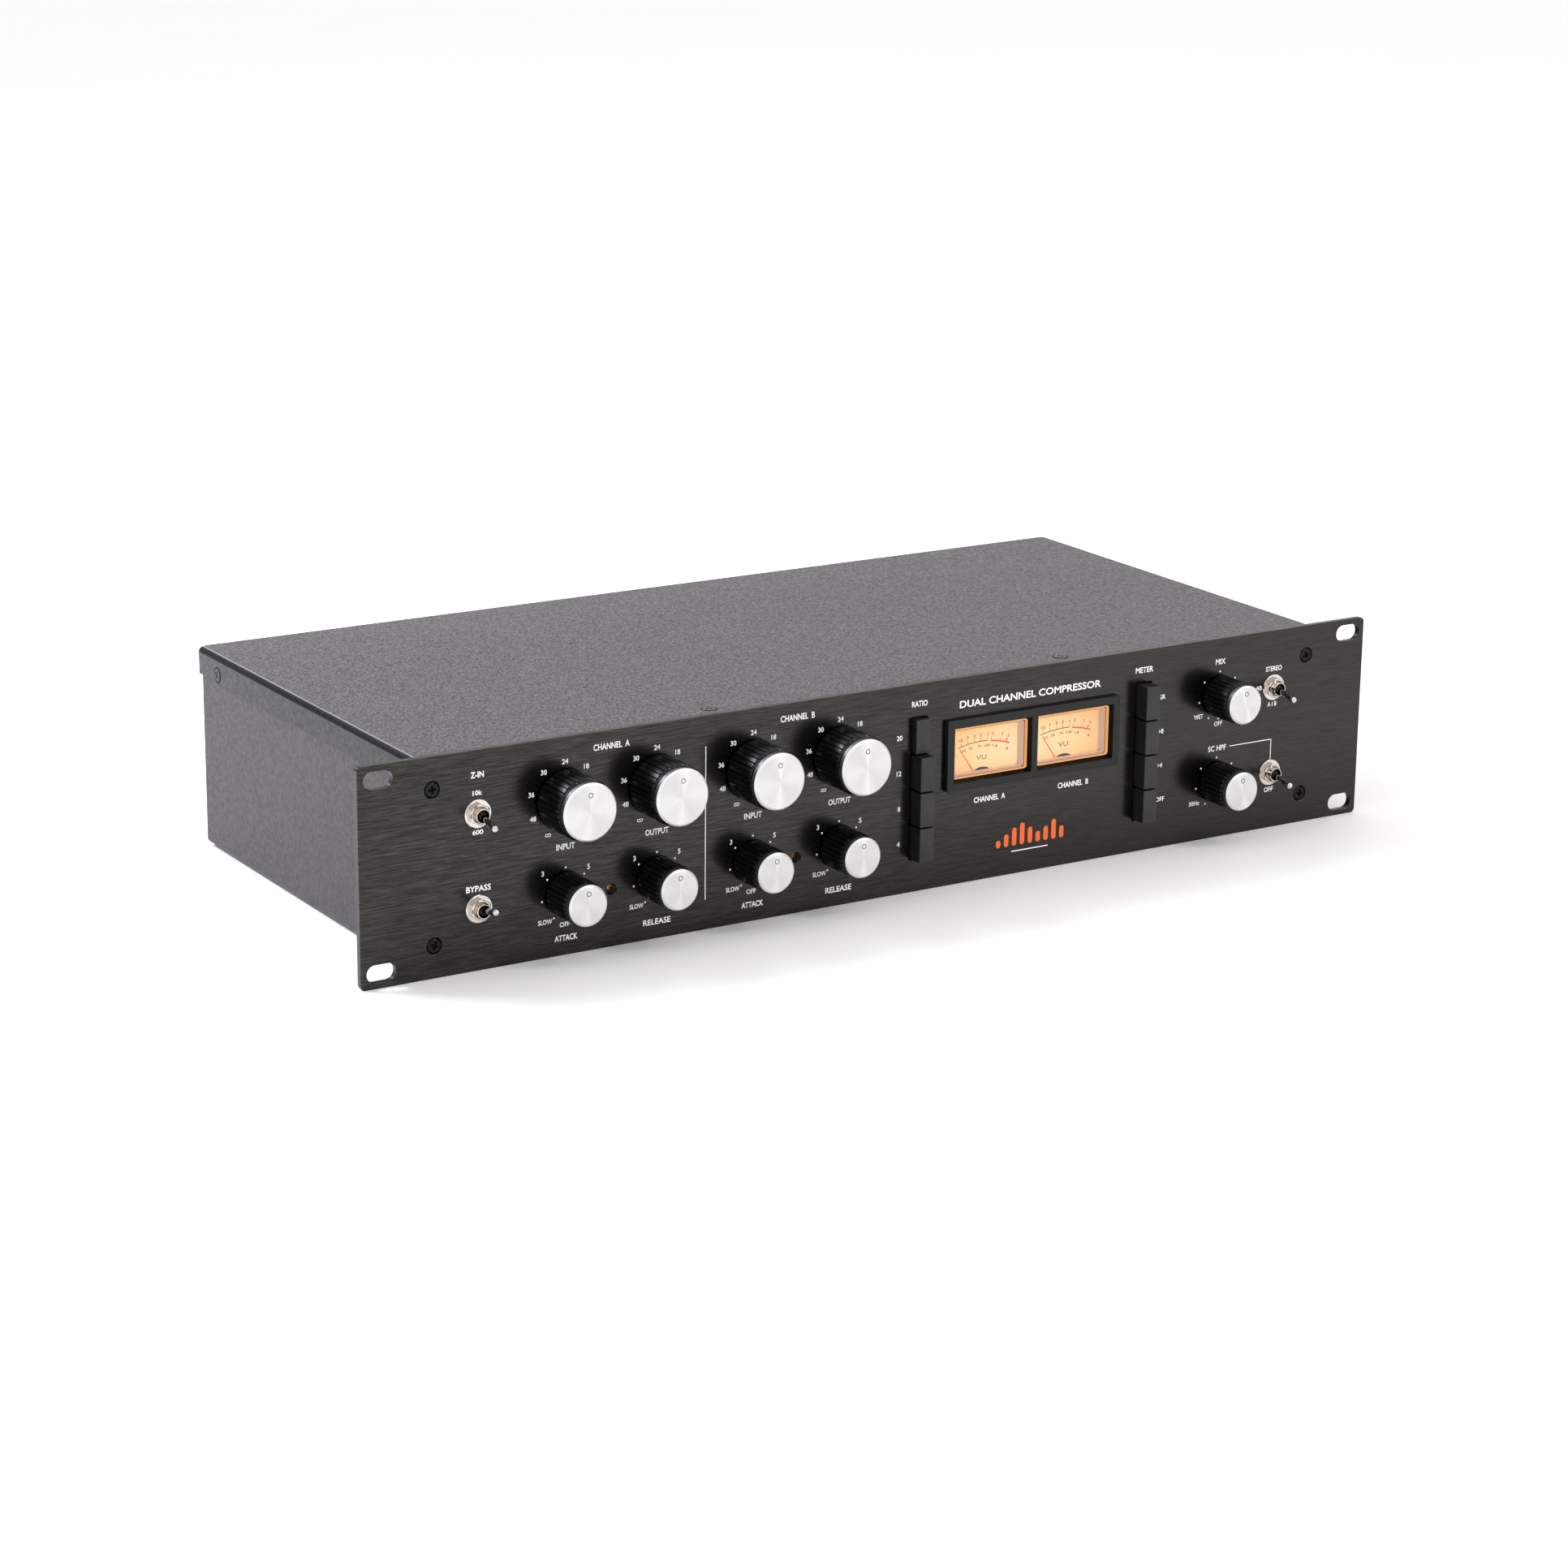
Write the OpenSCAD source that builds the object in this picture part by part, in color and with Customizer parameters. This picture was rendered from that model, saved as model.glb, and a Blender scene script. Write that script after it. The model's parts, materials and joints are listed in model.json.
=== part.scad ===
// Two-channel rack compressor, 19 inch wide and two units high.
// Millimetres. X runs along the panel, Y into the case, Z up.
// The origin is the centre of the rack slots, on the rear face of the front panel.

/* [Front panel] */
// Width of the front panel
panel_w = 482.6; // [480:0.1:484]
// Height of the front panel
panel_h = 88.1; // [87:0.1:88.9]
// Thickness of the front panel
panel_t = 3; // [2.5:0.1:4]
// Corner radius of the front panel
panel_corner_r = 2; // [0.5:0.1:4]
// Distance between the left and the right rack slots
rack_pitch_x = 465.1; // [464:0.1:466]
// Distance between the lower and the upper rack slots
rack_pitch_z = 76.2; // [70:0.1:77]
// End-to-end length of a rack slot
rack_slot_l = 12.4; // [9:0.1:13]
// Width of a rack slot
rack_slot_w = 7.2; // [6.5:0.1:7.5]
// Distance between the left and the right panel screws
panel_screw_pitch_x = 420; // [415:0.5:424]
// Distance between the lower and the upper panel screws
panel_screw_pitch_z = 62; // [56:0.5:66]

/* [Case] */
// Width of the case behind the panel
case_w = 432; // [430:0.5:438]
// Height of the case
case_h = 86; // [84:0.5:86.5]
// Depth of the tray behind the panel
case_d = 200; // [190:1:240]
// Thickness of the sheet steel
sheet_t = 1.2; // [1:0.1:1.6]
// Depth of the cover's side and rear flanges
cover_flange_h = 12; // [10:0.5:14]
// How far the cover reaches past the tray at the rear
cover_overhang = 2; // [1.6:0.1:3]
// Outer radius of the folds along the cover
fold_r = 2.6; // [2:0.1:3]

/* [Knobs] */
// Outer diameter of a large knob
big_d = 25; // [24:0.1:26]
// Height of a large knob over the panel, with its cap
big_h = 20.5; // [19:0.1:22]
// Number of flutes round a large knob
big_flutes = 36; // [24:1:40]
// Outer diameter of a small knob
small_d = 18; // [17:0.1:18.6]
// Height of a small knob over the panel, with its cap
small_h = 18.7; // [17:0.1:20]
// Number of flutes round a small knob
small_flutes = 28; // [18:1:30]
// Height of the metal cap that shows over the skirt
cap_h = 2.7; // [2:0.1:3]
// Gap between a knob and the panel
knob_gap = 0.6; // [0.4:0.1:1]

/* [Control layout] */
// Height of the upper and the lower control row over and under the centre
row_z = 19; // [18:0.1:20]
// Middle of channel A's knobs
channel_a_x = -132.7; // [-134:0.1:-132]
// Distance from channel A to channel B
channel_pitch = 84.7; // [84:0.1:85.4]
// Distance between the two knobs of one channel
knob_pitch = 40.7; // [40:0.1:41.4]
// Place of the two knobs at the right
mix_x = 163.5; // [162:0.1:164]
// Place of the toggles at the left
toggle_left_x = -191; // [-192:0.1:-190]
// Place of the toggles at the right
toggle_right_x = 192.5; // [191:0.1:193]
// Half of a toggle lever's throw, in degrees
toggle_tilt = 12.5; // [10:0.5:13]

/* [Push buttons] */
// Place of the ratio buttons
ratio_x = 10.3; // [9.6:0.1:11]
// Place of the meter buttons
meter_button_x = 123.3; // [122.6:0.1:124]
// Distance from one button to the next
button_pitch = 15; // [14.9:0.1:15.2]
// Width of a button
button_w = 7; // [6.5:0.1:7.4]
// Height of a button
button_h = 14.3; // [14:0.1:14.4]
// How far a released button stands out of the panel
button_out = 7.3; // [6.8:0.1:8]
// Travel of a button
button_travel = 4; // [3:0.1:4.2]

/* [Meters] */
// Middle of the meter bezel
bezel_x = 66.2; // [65.8:0.1:66.6]
// Height of the meters' middle over the panel's middle
bezel_z = 11.7; // [11.4:0.1:12]
// Width of the meter bezel
bezel_w = 86.5; // [86:0.1:88]
// Height of the meter bezel
bezel_h = 30; // [29.6:0.1:31]
// How far the bezel stands out of the panel
bezel_out = 2.5; // [2:0.1:3]
// Distance between the two meters
meter_pitch = 41.4; // [41.2:0.1:42]
// Width of a meter window
window_w = 38.2; // [38:0.1:38.6]
// Height of a meter window
window_h = 23.2; // [23:0.1:23.6]
// Length of a meter needle from its pivot
needle_l = 21.5; // [20:0.1:22]
// Angle of a resting needle from the vertical, in degrees
needle_rest = 34.5; // [32:0.5:36]

/* [Rear connectors] */
// Place of the mains inlet
inlet_x = -165; // [-172:1:-155]
// Middle of channel A's connectors
rear_a_x = 10; // [5:1:15]
// Distance from channel A's to channel B's connectors
rear_pitch = 112; // [108:1:115]

/* [Hidden] */
$fn = 64;
tiny = 0.1;
cut = 1;
run_gap = 0.05;
small_gap = 0.3;
coarse_fn = 32;

knob_names = ["input_a", "output_a", "input_b", "output_b", "attack_a",
              "release_a", "attack_b", "release_b", "mix", "sidechain"];

// Planes along Y
panel_front = -panel_t;
tray_rear = case_d;
tray_inner_rear = case_d - sheet_t;

// Planes along X and Z
case_top = case_h / 2;
case_bottom = -case_h / 2;
tray_top = case_top - sheet_t - 0.2;
tray_half_w = case_w / 2 - sheet_t;
flange_z = case_top - cover_flange_h;

// Front frame of the tray
frame_side = 12.6;
frame_top = 6.6;
frame_t = 1.5;
lip_d = 18;

// Screws: M3 countersunk for the case, pan head for the connectors
screw_r = 1.5;
screw_head_r = 3.1;
screw_head_h = 1.7;
screw_l = 8;
sheet_screw_l = 6;
recess_arm = 3.4;
recess_w = 0.8;
recess_depth = 0.9;
hole_gap = 0.1;
cover_screw_y = 8.7;
cover_screw_left_x = -82;
cover_screw_right_x = 88;
side_screw_y = case_d - 18;
side_screw_z = case_top - 8.5;
rear_screw_x = 100;

// Potentiometers
bush_r = 3.5;
shaft_r = 3;
bush_out = 5;
pot_r = 8;
pot_y = 0.3;
pot_d = 10;
pot_nut_af = 10;
pot_nut_h = 2.4;
pot_bore_end = 8.8;
pot_pin_pitch = 5;
pin_r = 0.45;
pin_fn = 16;
board_y = 18;
board_t = 1.6;

// Knob skirts
recess_r = 7;
recess_d = 5;
ring_h = 1.4;
shaft_margin = 3.2;
flute_d = 0.45;
groove_share = 0.3;
cap_share = 0.93;
marker_share = 0.585;
marker_r = 1.15;
marker_t = 0.3;
marker_depth = 0.15;
cap_bevel = 0.7;

// Toggles
toggle_bush_r = 3.175;
toggle_bush_out = 4.9;
toggle_bore_r = 2.35;
toggle_ball_r = 2.2;
ball_seam_turn = 45;
toggle_pivot_y = panel_front - 3;
toggle_washer_r = 5.7;
toggle_washer_t = 0.7;
toggle_nut_af = 8;
toggle_nut_h = 2;
lever_l = 11.3;
lever_tip_r = 1.45;
lever_root_r = 0.95;
lever_neck_r = 1.2;
lever_tail_l = 4;
pivot_pin_r = 0.45;
pivot_pin_l = 5.4;
toggle_body_w = 8;
toggle_body_h = 13;
toggle_body_d = 10;
toggle_well_d = 2;
toggle_pin_pitch = 4.7;

// Button banks
bank_count = 4;
window_gap = 0.5;
bank_w = 12;
bank_h = 62;
bank_y = 4.6;
stem_w = 3.6;
stem_l = 10;
stem_slot_w = 4.4;
stem_slot_end = 16;
button_bevel = 0.35;

// Trimmers
trim_hole_r = 2.2;
trim_hole_dx = 20.55;
trim_hole_z = -20.5;
trim_offset_x = 0.8;
trim_screw_r = 1.3;
trim_screw_y = 0.4;
trim_body_y = 1.3;
trim_body_w = 5;
trim_body_h = 9.5;
trim_body_d = 9.8;
trim_screw_end = 4;
trim_slot_w = 0.45;
trim_slot_d = 0.6;
trim_slot_angle = 20;

// Meters
bezel_neck_t = 1.2;
bezel_corner_r = 0.6;
lens_w = 36.7;
lens_h = 21.4;
lens_corner_r = 1.2;
lens_t = 1.2;
lens_offset_x = 0.4;
lens_flange_y = 0.3;
lens_flange_t = 1;
meter_w = 38;
meter_h = 33;
meter_y = lens_flange_y + lens_flange_t;
meter_d = 20;
meter_wall = 1.2;
meter_drop = 5;
dial_y = 3.5;
dial_t = 0.8;
dial_foot_r = 4.5;
pivot_z = -5.8;
needle_y = 2.3;
needle_t = 0.3;
needle_w = 0.5;
needle_tail_l = 2.3;
hub_r = 1.5;
axle_r = 0.5;
magnet_w = 20;
magnet_h = 5;
movement_y = 5;
movement_d = 11;
axle_end = 12;

// Boards and what they carry
board_z = -33;
board_left = -88;
board_right = 203;
board_front = 26;
board_rear = 172;
standoff_r = 3;
standoff_inset = 6;
board_notch_gap = 1;
control_board_half_h = 35;
control_board_left = -200;
control_board_right = 205;
capacitor_r = 8;
capacitor_h = 25;
capacitor_xs = [-70, -48, -26];
capacitor_ys = [60, 84];
chip_size = [10, 7, 4];
chip_xs = [0 : 30 : 180];
chip_ys = [45, 62];
sink_size = [60, 3, 30];
sink_x = -80;
sink_y = 125;
regulator_size = [10, 4.8, 18];
regulator_xs = [-76, -56, -36];
core_size = [30, 25, 26];
coil_size = [20, 33, 16];
audio_xs = [10, 60, 110, 160];
audio_y = 110;
toroid_r = 42;
toroid_hole_r = 13;
toroid_h = 38;
toroid_corner_r = 6;
toroid_x = -148;
toroid_y = 100;
toroid_bolt_r = 3;
toroid_bolt_end = 6;
toroid_washer_r = 21;
toroid_washer_t = 1.5;

// Rear connectors
flange_t = 2;
xlr_w = 26;
xlr_h = 31;
xlr_corner_r = 2;
xlr_r = 11.8;
xlr_depth = 22;
xlr_cup_r = 9.4;
xlr_cup_d = 16;
xlr_pin_r = 1.2;
xlr_pin_circle_r = 5.6;
xlr_pin_l = 10.5;
xlr_groove_r = 10.6;
xlr_dx = [-35, 0];
xlr_screw_dx = 9.5;
xlr_screw_dz = 12;
jack_dx = 28;
jack_dz = 13;
jack_r = 3.25;
jack_bush_r = 4.6;
jack_nut_af = 12;
jack_nut_h = 2;
jack_out = 2.6;
jack_l = 30;
jack_body = 14;
jack_wall = 3;
pan_head_r = 2.8;
pan_head_h = 1.6;
inlet_w = 68;
inlet_h = 32;
inlet_corner_r = 3;
inlet_screw_dx = 30;
inlet_body_w = 54;
inlet_body_h = 27;
inlet_depth = 26;
iec_dx = -9;
iec_w = 24;
iec_h = 16.4;
iec_d = 16;
iec_pin_l = 11;
iec_pin_w = 2;
iec_pin_h = 4;
iec_pin_places = [[-7, -2], [0, 2], [7, -2]];
rocker_dx = 17;
rocker_w = 11;
rocker_h = 15;
rocker_pocket_h = 16.8;
rocker_pocket_d = 8;
rocker_pivot_out = 1;
rocker_tilt = 9;
rocker_crest = 3;
rocker_valley = 2;
rocker_heel_r = 4;
rocker_axle_r = 1;
rocker_axle_l = 13;

// Lists of places
function side(i) = i == 0 ? -1 : 1;
function channel_x(c) = channel_a_x + c * channel_pitch;
big_places = [for (c = [0, 1]) for (s = [0, 1]) [channel_x(c) + side(s) * knob_pitch / 2, row_z]];
small_places = [for (p = big_places) [p[0], -row_z]];
knob_places = concat(big_places, small_places, [[mix_x, row_z], [mix_x, -row_z]]);
big_count = len(big_places);
toggle_places = [[toggle_left_x, row_z], [toggle_left_x, -row_z],
                 [toggle_right_x, row_z], [toggle_right_x, -row_z]];
bank_places = [ratio_x, meter_button_x];
meter_places = [bezel_x - meter_pitch / 2, bezel_x + meter_pitch / 2];
trim_places = [channel_a_x, channel_a_x + channel_pitch];
rear_places = [rear_a_x, rear_a_x + rear_pitch];
function button_z(i) = (1.5 - i) * button_pitch;

// A cylinder along Y, from y0 to y1
module rod_y(r, y0, y1, fn = $fn) {
    translate([0, y1, 0])
        rotate([90, 0, 0])
            cylinder(r = r, h = y1 - y0, $fn = fn);
}

// A cone along Y, with radius r0 at y0 and r1 at y1
module cone_y(r0, r1, y0, y1) {
    translate([0, y1, 0])
        rotate([90, 0, 0])
            cylinder(r1 = r1, r2 = r0, h = y1 - y0);
}

// A box from y0 to y1, centred in X and Z
module box_y(w, h, y0, y1) {
    translate([-w / 2, y0, -h / 2])
        cube([w, y1 - y0, h]);
}

// A flat rectangle with round corners
module round_rect(w, h, r) {
    square([w - 2 * r, h], center = true);
    square([w, h - 2 * r], center = true);
    for (x = [-1, 1], y = [-1, 1])
        translate([x * (w / 2 - r), y * (h / 2 - r)])
            circle(r = r);
}

// A plate with round corners that faces Y, from y0 to y1
module plate_y(w, h, r, y0, y1) {
    translate([0, y1, 0])
        rotate([90, 0, 0])
            linear_extrude(height = y1 - y0)
                round_rect(w, h, r);
}

// A countersunk screw whose head is flush with y = 0 and whose thread runs along +Y
module countersunk_screw(head_h, length) {
    difference() {
        union() {
            cone_y(screw_head_r, screw_r, 0, head_h);
            rod_y(screw_r, head_h, length, coarse_fn);
        }
        for (a = [0, 90])
            rotate([0, a, 0])
                box_y(recess_arm, recess_w, -tiny, recess_depth);
    }
}

// The hole for a countersunk screw
module countersunk_hole(head_h, length) {
    cone_y(screw_head_r + hole_gap, screw_r + hole_gap, 0, head_h);
    rod_y(screw_head_r + hole_gap, -cut, 0);
    rod_y(screw_r + hole_gap, head_h - tiny, length);
}

module at_panel_screws() {
    for (x = [-1, 1], z = [-1, 1])
        translate([x * panel_screw_pitch_x / 2, panel_front, z * panel_screw_pitch_z / 2])
            children();
}

// Screws through the cover: two on top, one in each side flange, two in the rear flange
module at_cover_screws() {
    for (x = [cover_screw_left_x, cover_screw_right_x])
        translate([x, cover_screw_y, case_top])
            rotate([-90, 0, 0])
                children();
    for (s = [-1, 1])
        translate([s * case_w / 2, side_screw_y, side_screw_z])
            rotate([0, 0, s * 90])
                children();
    for (s = [-1, 1])
        translate([s * rear_screw_x, case_d + cover_overhang, side_screw_z])
            rotate([0, 0, 180])
                children();
}

module rack_slot() {
    slot_y0 = panel_front - cut;
    for (s = [-1, 1])
        translate([s * (rack_slot_l - rack_slot_w) / 2, 0, 0])
            rod_y(rack_slot_w / 2, slot_y0, cut);
    box_y(rack_slot_l - rack_slot_w, rack_slot_w, slot_y0, cut);
}

module front_panel() {
    cut_y0 = panel_front - cut;
    bank_window_h = (bank_count - cut) * button_pitch + button_h + 2 * window_gap;
    color("#232323")
        difference() {
            plate_y(panel_w, panel_h, panel_corner_r, panel_front, 0);
            for (x = [-1, 1], z = [-1, 1])
                translate([x * rack_pitch_x / 2, 0, z * rack_pitch_z / 2])
                    rack_slot();
            at_panel_screws()
                countersunk_hole(screw_head_h, screw_l);
            for (p = knob_places)
                translate([p[0], 0, p[1]])
                    rod_y(bush_r + hole_gap, cut_y0, cut);
            for (p = toggle_places)
                translate([p[0], 0, p[1]])
                    rod_y(toggle_bush_r + hole_gap, cut_y0, cut);
            for (x = bank_places)
                translate([x, 0, 0])
                    box_y(button_w + 2 * window_gap, bank_window_h, cut_y0, cut);
            for (x = trim_places)
                translate([x, 0, trim_hole_z])
                    rod_y(trim_hole_r, cut_y0, cut);
            translate([bezel_x, 0, bezel_z])
                box_y(meter_pitch + window_w + 2 * (bezel_neck_t + hole_gap),
                      window_h + 2 * (bezel_neck_t + hole_gap), cut_y0, cut);
        }
}

module rear_cutouts() {
    cut_y0 = tray_inner_rear - cut;
    cut_y1 = tray_rear + cut;
    for (x = rear_places) {
        for (dx = xlr_dx)
            translate([x + dx, 0, 0])
                rod_y(xlr_r + small_gap, cut_y0, cut_y1);
        for (s = [-1, 1])
            translate([x + jack_dx, 0, s * jack_dz])
                rod_y(jack_bush_r + small_gap, cut_y0, cut_y1);
    }
    translate([inlet_x, 0, 0])
        box_y(inlet_body_w + 2 * small_gap, inlet_body_h + 2 * small_gap, cut_y0, cut_y1);
}

// Floor and sides in one sheet, with a frame behind the panel and a lip under the cover.
// The sides stop under the cover's folds.
module chassis_tray() {
    inner_w = 2 * tray_half_w - 2 * sheet_t;
    tray_h = tray_top - case_bottom;
    side_h = case_top - fold_r - case_bottom;
    color("#3a3a3f")
        difference() {
            union() {
                difference() {
                    translate([-tray_half_w, 0, case_bottom])
                        cube([2 * tray_half_w, case_d, side_h]);
                    translate([-inner_w / 2, -cut, case_bottom + sheet_t])
                        cube([inner_w, case_d + 2 * cut, side_h]);
                }
                difference() {
                    translate([-inner_w / 2 - tiny, 0, case_bottom + sheet_t - tiny])
                        cube([inner_w + 2 * tiny, frame_t, side_h - sheet_t + tiny]);
                    translate([-tray_half_w + frame_side, -cut, case_bottom + frame_top])
                        cube([2 * (tray_half_w - frame_side), frame_t + 2 * cut, tray_h - 2 * frame_top]);
                }
                translate([-inner_w / 2, 0, tray_top - frame_top])
                    cube([inner_w, frame_t, frame_top]);
                translate([sheet_t - inner_w / 2, 0, tray_top - sheet_t])
                    cube([inner_w - 2 * sheet_t, lip_d, sheet_t]);
            }
            at_panel_screws()
                rod_y(screw_r + hole_gap, 0, screw_l + cut, coarse_fn);
            at_cover_screws()
                rod_y(screw_r + hole_gap, 0, sheet_screw_l + cut, coarse_fn);
        }
}

module rear_wall() {
    wall_w = 2 * tray_half_w - 2 * sheet_t;
    wall_bottom = case_bottom + sheet_t;
    color("#3a3a3f")
        difference() {
            translate([-wall_w / 2, tray_inner_rear, wall_bottom])
                cube([wall_w, sheet_t, tray_top - wall_bottom]);
            at_cover_screws()
                rod_y(screw_r + hole_gap, 0, sheet_screw_l + cut, coarse_fn);
            rear_cutouts();
            for (x = rear_places)
                for (dx = xlr_dx)
                    translate([x + dx, 0, 0])
                        at_xlr_screws()
                            rod_y(screw_r + hole_gap, -sheet_screw_l - cut, cut, coarse_fn);
            translate([inlet_x, 0, 0])
                at_inlet_screws()
                    rod_y(screw_r + hole_gap, -sheet_screw_l - cut, cut, coarse_fn);
        }
}

// The folded outline of the cover, as seen along Y
module cover_profile() {
    fold_depth = 2 * cover_flange_h;
    difference() {
        translate([0, case_top - fold_depth / 2])
            round_rect(case_w, fold_depth, fold_r);
        translate([0, case_top - sheet_t - fold_depth / 2])
            round_rect(case_w - 2 * sheet_t, fold_depth, fold_r - sheet_t);
        translate([-case_w, flange_z - fold_depth])
            square([2 * case_w, fold_depth]);
    }
}

module top_cover() {
    cover_d = case_d + cover_overhang;
    flange_w = case_w - 2 * fold_r;
    color("#4a4a50")
        difference() {
            union() {
                translate([0, cover_d, 0])
                    rotate([90, 0, 0])
                        linear_extrude(height = cover_d)
                            cover_profile();
                translate([-flange_w / 2, cover_d - sheet_t, flange_z])
                    cube([flange_w, sheet_t, cover_flange_h - sheet_t / 2]);
            }
            at_cover_screws()
                countersunk_hole(sheet_t, sheet_screw_l);
        }
}

module case_screws() {
    color("#151515") {
        at_panel_screws()
            countersunk_screw(screw_head_h, screw_l);
        at_cover_screws()
            countersunk_screw(sheet_t, sheet_screw_l);
    }
}

// Knobs: the skirt stands on y = 0 here and grows towards -Y

// Outline of a fluted skirt: two points on the rim and one in the groove for each flute
module fluted_outline(r, flutes) {
    step = 360 / flutes;
    polygon([for (i = [0 : flutes - 1]) for (k = [0, 1, 2])
        let (a = step * (i + (k == 0 ? 0 : k == 1 ? 1 - groove_share : 1 - groove_share / 2)),
             q = k == 2 ? r - flute_d : r)
        [q * cos(a), q * sin(a)]]);
}

module knob_skirt(d, h, flutes) {
    skirt_h = h - cap_h - knob_gap;
    bore_end = skirt_h - shaft_margin;
    color("#161618")
        difference() {
            union() {
                rotate([90, 0, 0])
                    linear_extrude(height = skirt_h - ring_h)
                        fluted_outline(d / 2, flutes);
                rod_y(d / 2 - 2 * flute_d, -skirt_h, -skirt_h + ring_h);
            }
            rod_y(recess_r, -recess_d, cut);
            rod_y(shaft_r + run_gap, -bore_end, 0);
        }
    color("#b8b8b8")
        translate([0, -panel_front + knob_gap, 0])
            rod_y(shaft_r, panel_front - knob_gap - bore_end + small_gap, pot_bore_end - small_gap);
}

module knob_cap(d, h) {
    skirt_h = h - cap_h - knob_gap;
    cap_r = cap_share * d / 2;
    marker_place = marker_share * cap_r;
    color("#d9d9d9")
        difference() {
            union() {
                rod_y(cap_r, -skirt_h - cap_h + cap_bevel, -skirt_h);
                cone_y(cap_r - cap_bevel, cap_r, -skirt_h - cap_h, -skirt_h - cap_h + cap_bevel);
            }
            translate([0, 0, marker_place])
                difference() {
                    rod_y(marker_r, -skirt_h - cap_h - cut, -skirt_h - cap_h + marker_depth);
                    rod_y(marker_r - marker_t, -skirt_h - cap_h - 2, -skirt_h);
                }
        }
}

module at_knob(i) {
    translate([knob_places[i][0], panel_front - knob_gap, knob_places[i][1]])
        children();
}

module knob(i) {
    big = i < big_count;
    at_knob(i)
        knob_skirt(big ? big_d : small_d, big ? big_h : small_h, big ? big_flutes : small_flutes);
}

module cap(i) {
    big = i < big_count;
    at_knob(i)
        knob_cap(big ? big_d : small_d, big ? big_h : small_h);
}

module potentiometer() {
    nut_r = pot_nut_af / 2 / cos(30);
    color("#8f9296")
        difference() {
            union() {
                rod_y(pot_r, pot_y, pot_y + pot_d);
                rod_y(bush_r, panel_front - bush_out, pot_y);
            }
            rod_y(shaft_r + run_gap, panel_front - bush_out - cut, pot_bore_end);
        }
    color("#c8c8c8")
        difference() {
            rod_y(nut_r, panel_front - pot_nut_h, panel_front, 6);
            rod_y(bush_r + hole_gap, panel_front - pot_nut_h - cut, 0);
        }
    color("#c0a060")
        for (dx = [-1, 0, 1])
            translate([dx * pot_pin_pitch, 0, -pot_r / 2])
                rod_y(pin_r, pot_y + pot_d - tiny, board_y, pin_fn);
}

module potentiometers() {
    for (p = knob_places)
        translate([p[0], 0, p[1]])
            potentiometer();
}

// The bush carries a cross pin, on which the lever's ball turns
module toggle_switch() {
    color("#c9c9c9") {
        difference() {
            rod_y(toggle_bush_r, panel_front - toggle_bush_out, pot_y);
            rod_y(toggle_bore_r, panel_front - toggle_bush_out - cut, cut);
        }
        translate([0, toggle_pivot_y, 0])
            rotate([0, 90, 0])
                cylinder(r = pivot_pin_r, h = pivot_pin_l, center = true);
    }
    color("#7d2020")
        difference() {
            box_y(toggle_body_w, toggle_body_h, pot_y, pot_y + toggle_body_d);
            rod_y(toggle_bore_r, 0, pot_y + toggle_well_d);
        }
    color("#c0a060")
        for (dz = [-1, 0, 1])
            translate([0, 0, dz * toggle_pin_pitch])
                rod_y(pin_r, pot_y + toggle_body_d - tiny, board_y, pin_fn);
}

module toggle_switches() {
    for (p = toggle_places)
        translate([p[0], 0, p[1]])
            toggle_switch();
}

module toggle_nuts() {
    nut_r = toggle_nut_af / 2 / cos(30);
    washer_y = panel_front - toggle_washer_t;
    nut_y = washer_y - toggle_nut_h;
    bore_r = toggle_bush_r + hole_gap;
    color("#dcdcdc")
        for (p = toggle_places)
            translate([p[0], 0, p[1]])
                difference() {
                    union() {
                        rod_y(toggle_washer_r, washer_y, panel_front);
                        rod_y(nut_r, nut_y, washer_y, 6);
                    }
                    rod_y(bore_r, nut_y - cut, 0);
                }
}

// A bat lever: tilt is positive when its tip hangs down. The ball's seam is kept off the pin's hole.
module lever(i, tilt) {
    color("#b5b5b5")
        translate([toggle_places[i][0], toggle_pivot_y, toggle_places[i][1]])
            rotate([tilt, 0, 0])
                difference() {
                    union() {
                        rotate([0, 0, ball_seam_turn])
                            sphere(r = toggle_ball_r);
                        cone_y(lever_neck_r, lever_root_r, -lever_l, 0);
                        translate([0, -lever_l, 0])
                            sphere(r = lever_tip_r);
                        rod_y(lever_root_r, 0, lever_tail_l, coarse_fn);
                    }
                    rotate([0, 90, 0])
                        cylinder(r = pivot_pin_r + run_gap, h = 3 * toggle_ball_r, center = true);
                }
}

// One push button: in is how far it is pressed
module button(x, i, in) {
    bevel_y = panel_front - button_out + button_bevel;
    color("#1c1c1c")
        translate([x, in, button_z(i)]) {
            box_y(button_w, button_h, bevel_y, 0);
            box_y(button_w - 2 * button_bevel, button_h - 2 * button_bevel,
                  panel_front - button_out, bevel_y);
            box_y(stem_w, stem_w, -tiny, stem_l);
        }
}

module button_switch_banks() {
    color("#303030")
        for (x = bank_places)
            translate([x, 0, 0])
                difference() {
                    box_y(bank_w, bank_h, bank_y, board_y);
                    for (i = [0 : bank_count - 1])
                        translate([0, 0, button_z(i)])
                            box_y(stem_slot_w, stem_slot_w, bank_y - cut, stem_slot_end);
                }
}

module trimmer_bodies() {
    color("#1f4fa0")
        for (x = trim_places)
            translate([x + trim_offset_x, 0, trim_hole_z])
                difference() {
                    translate([0, 0, -trim_body_h / 2 + trim_body_w / 2])
                        box_y(trim_body_w, trim_body_h, trim_body_y, trim_body_y + trim_body_d);
                    rod_y(trim_screw_r + run_gap, 0, trim_screw_end + small_gap);
                }
    color("#c0a060")
        for (x = trim_places)
            for (k = [0, 1, 2])
                translate([x + trim_offset_x, 0, trim_hole_z - k * trim_body_w / 2])
                    rod_y(pin_r, trim_body_y + trim_body_d - tiny, board_y, pin_fn);
}

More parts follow.
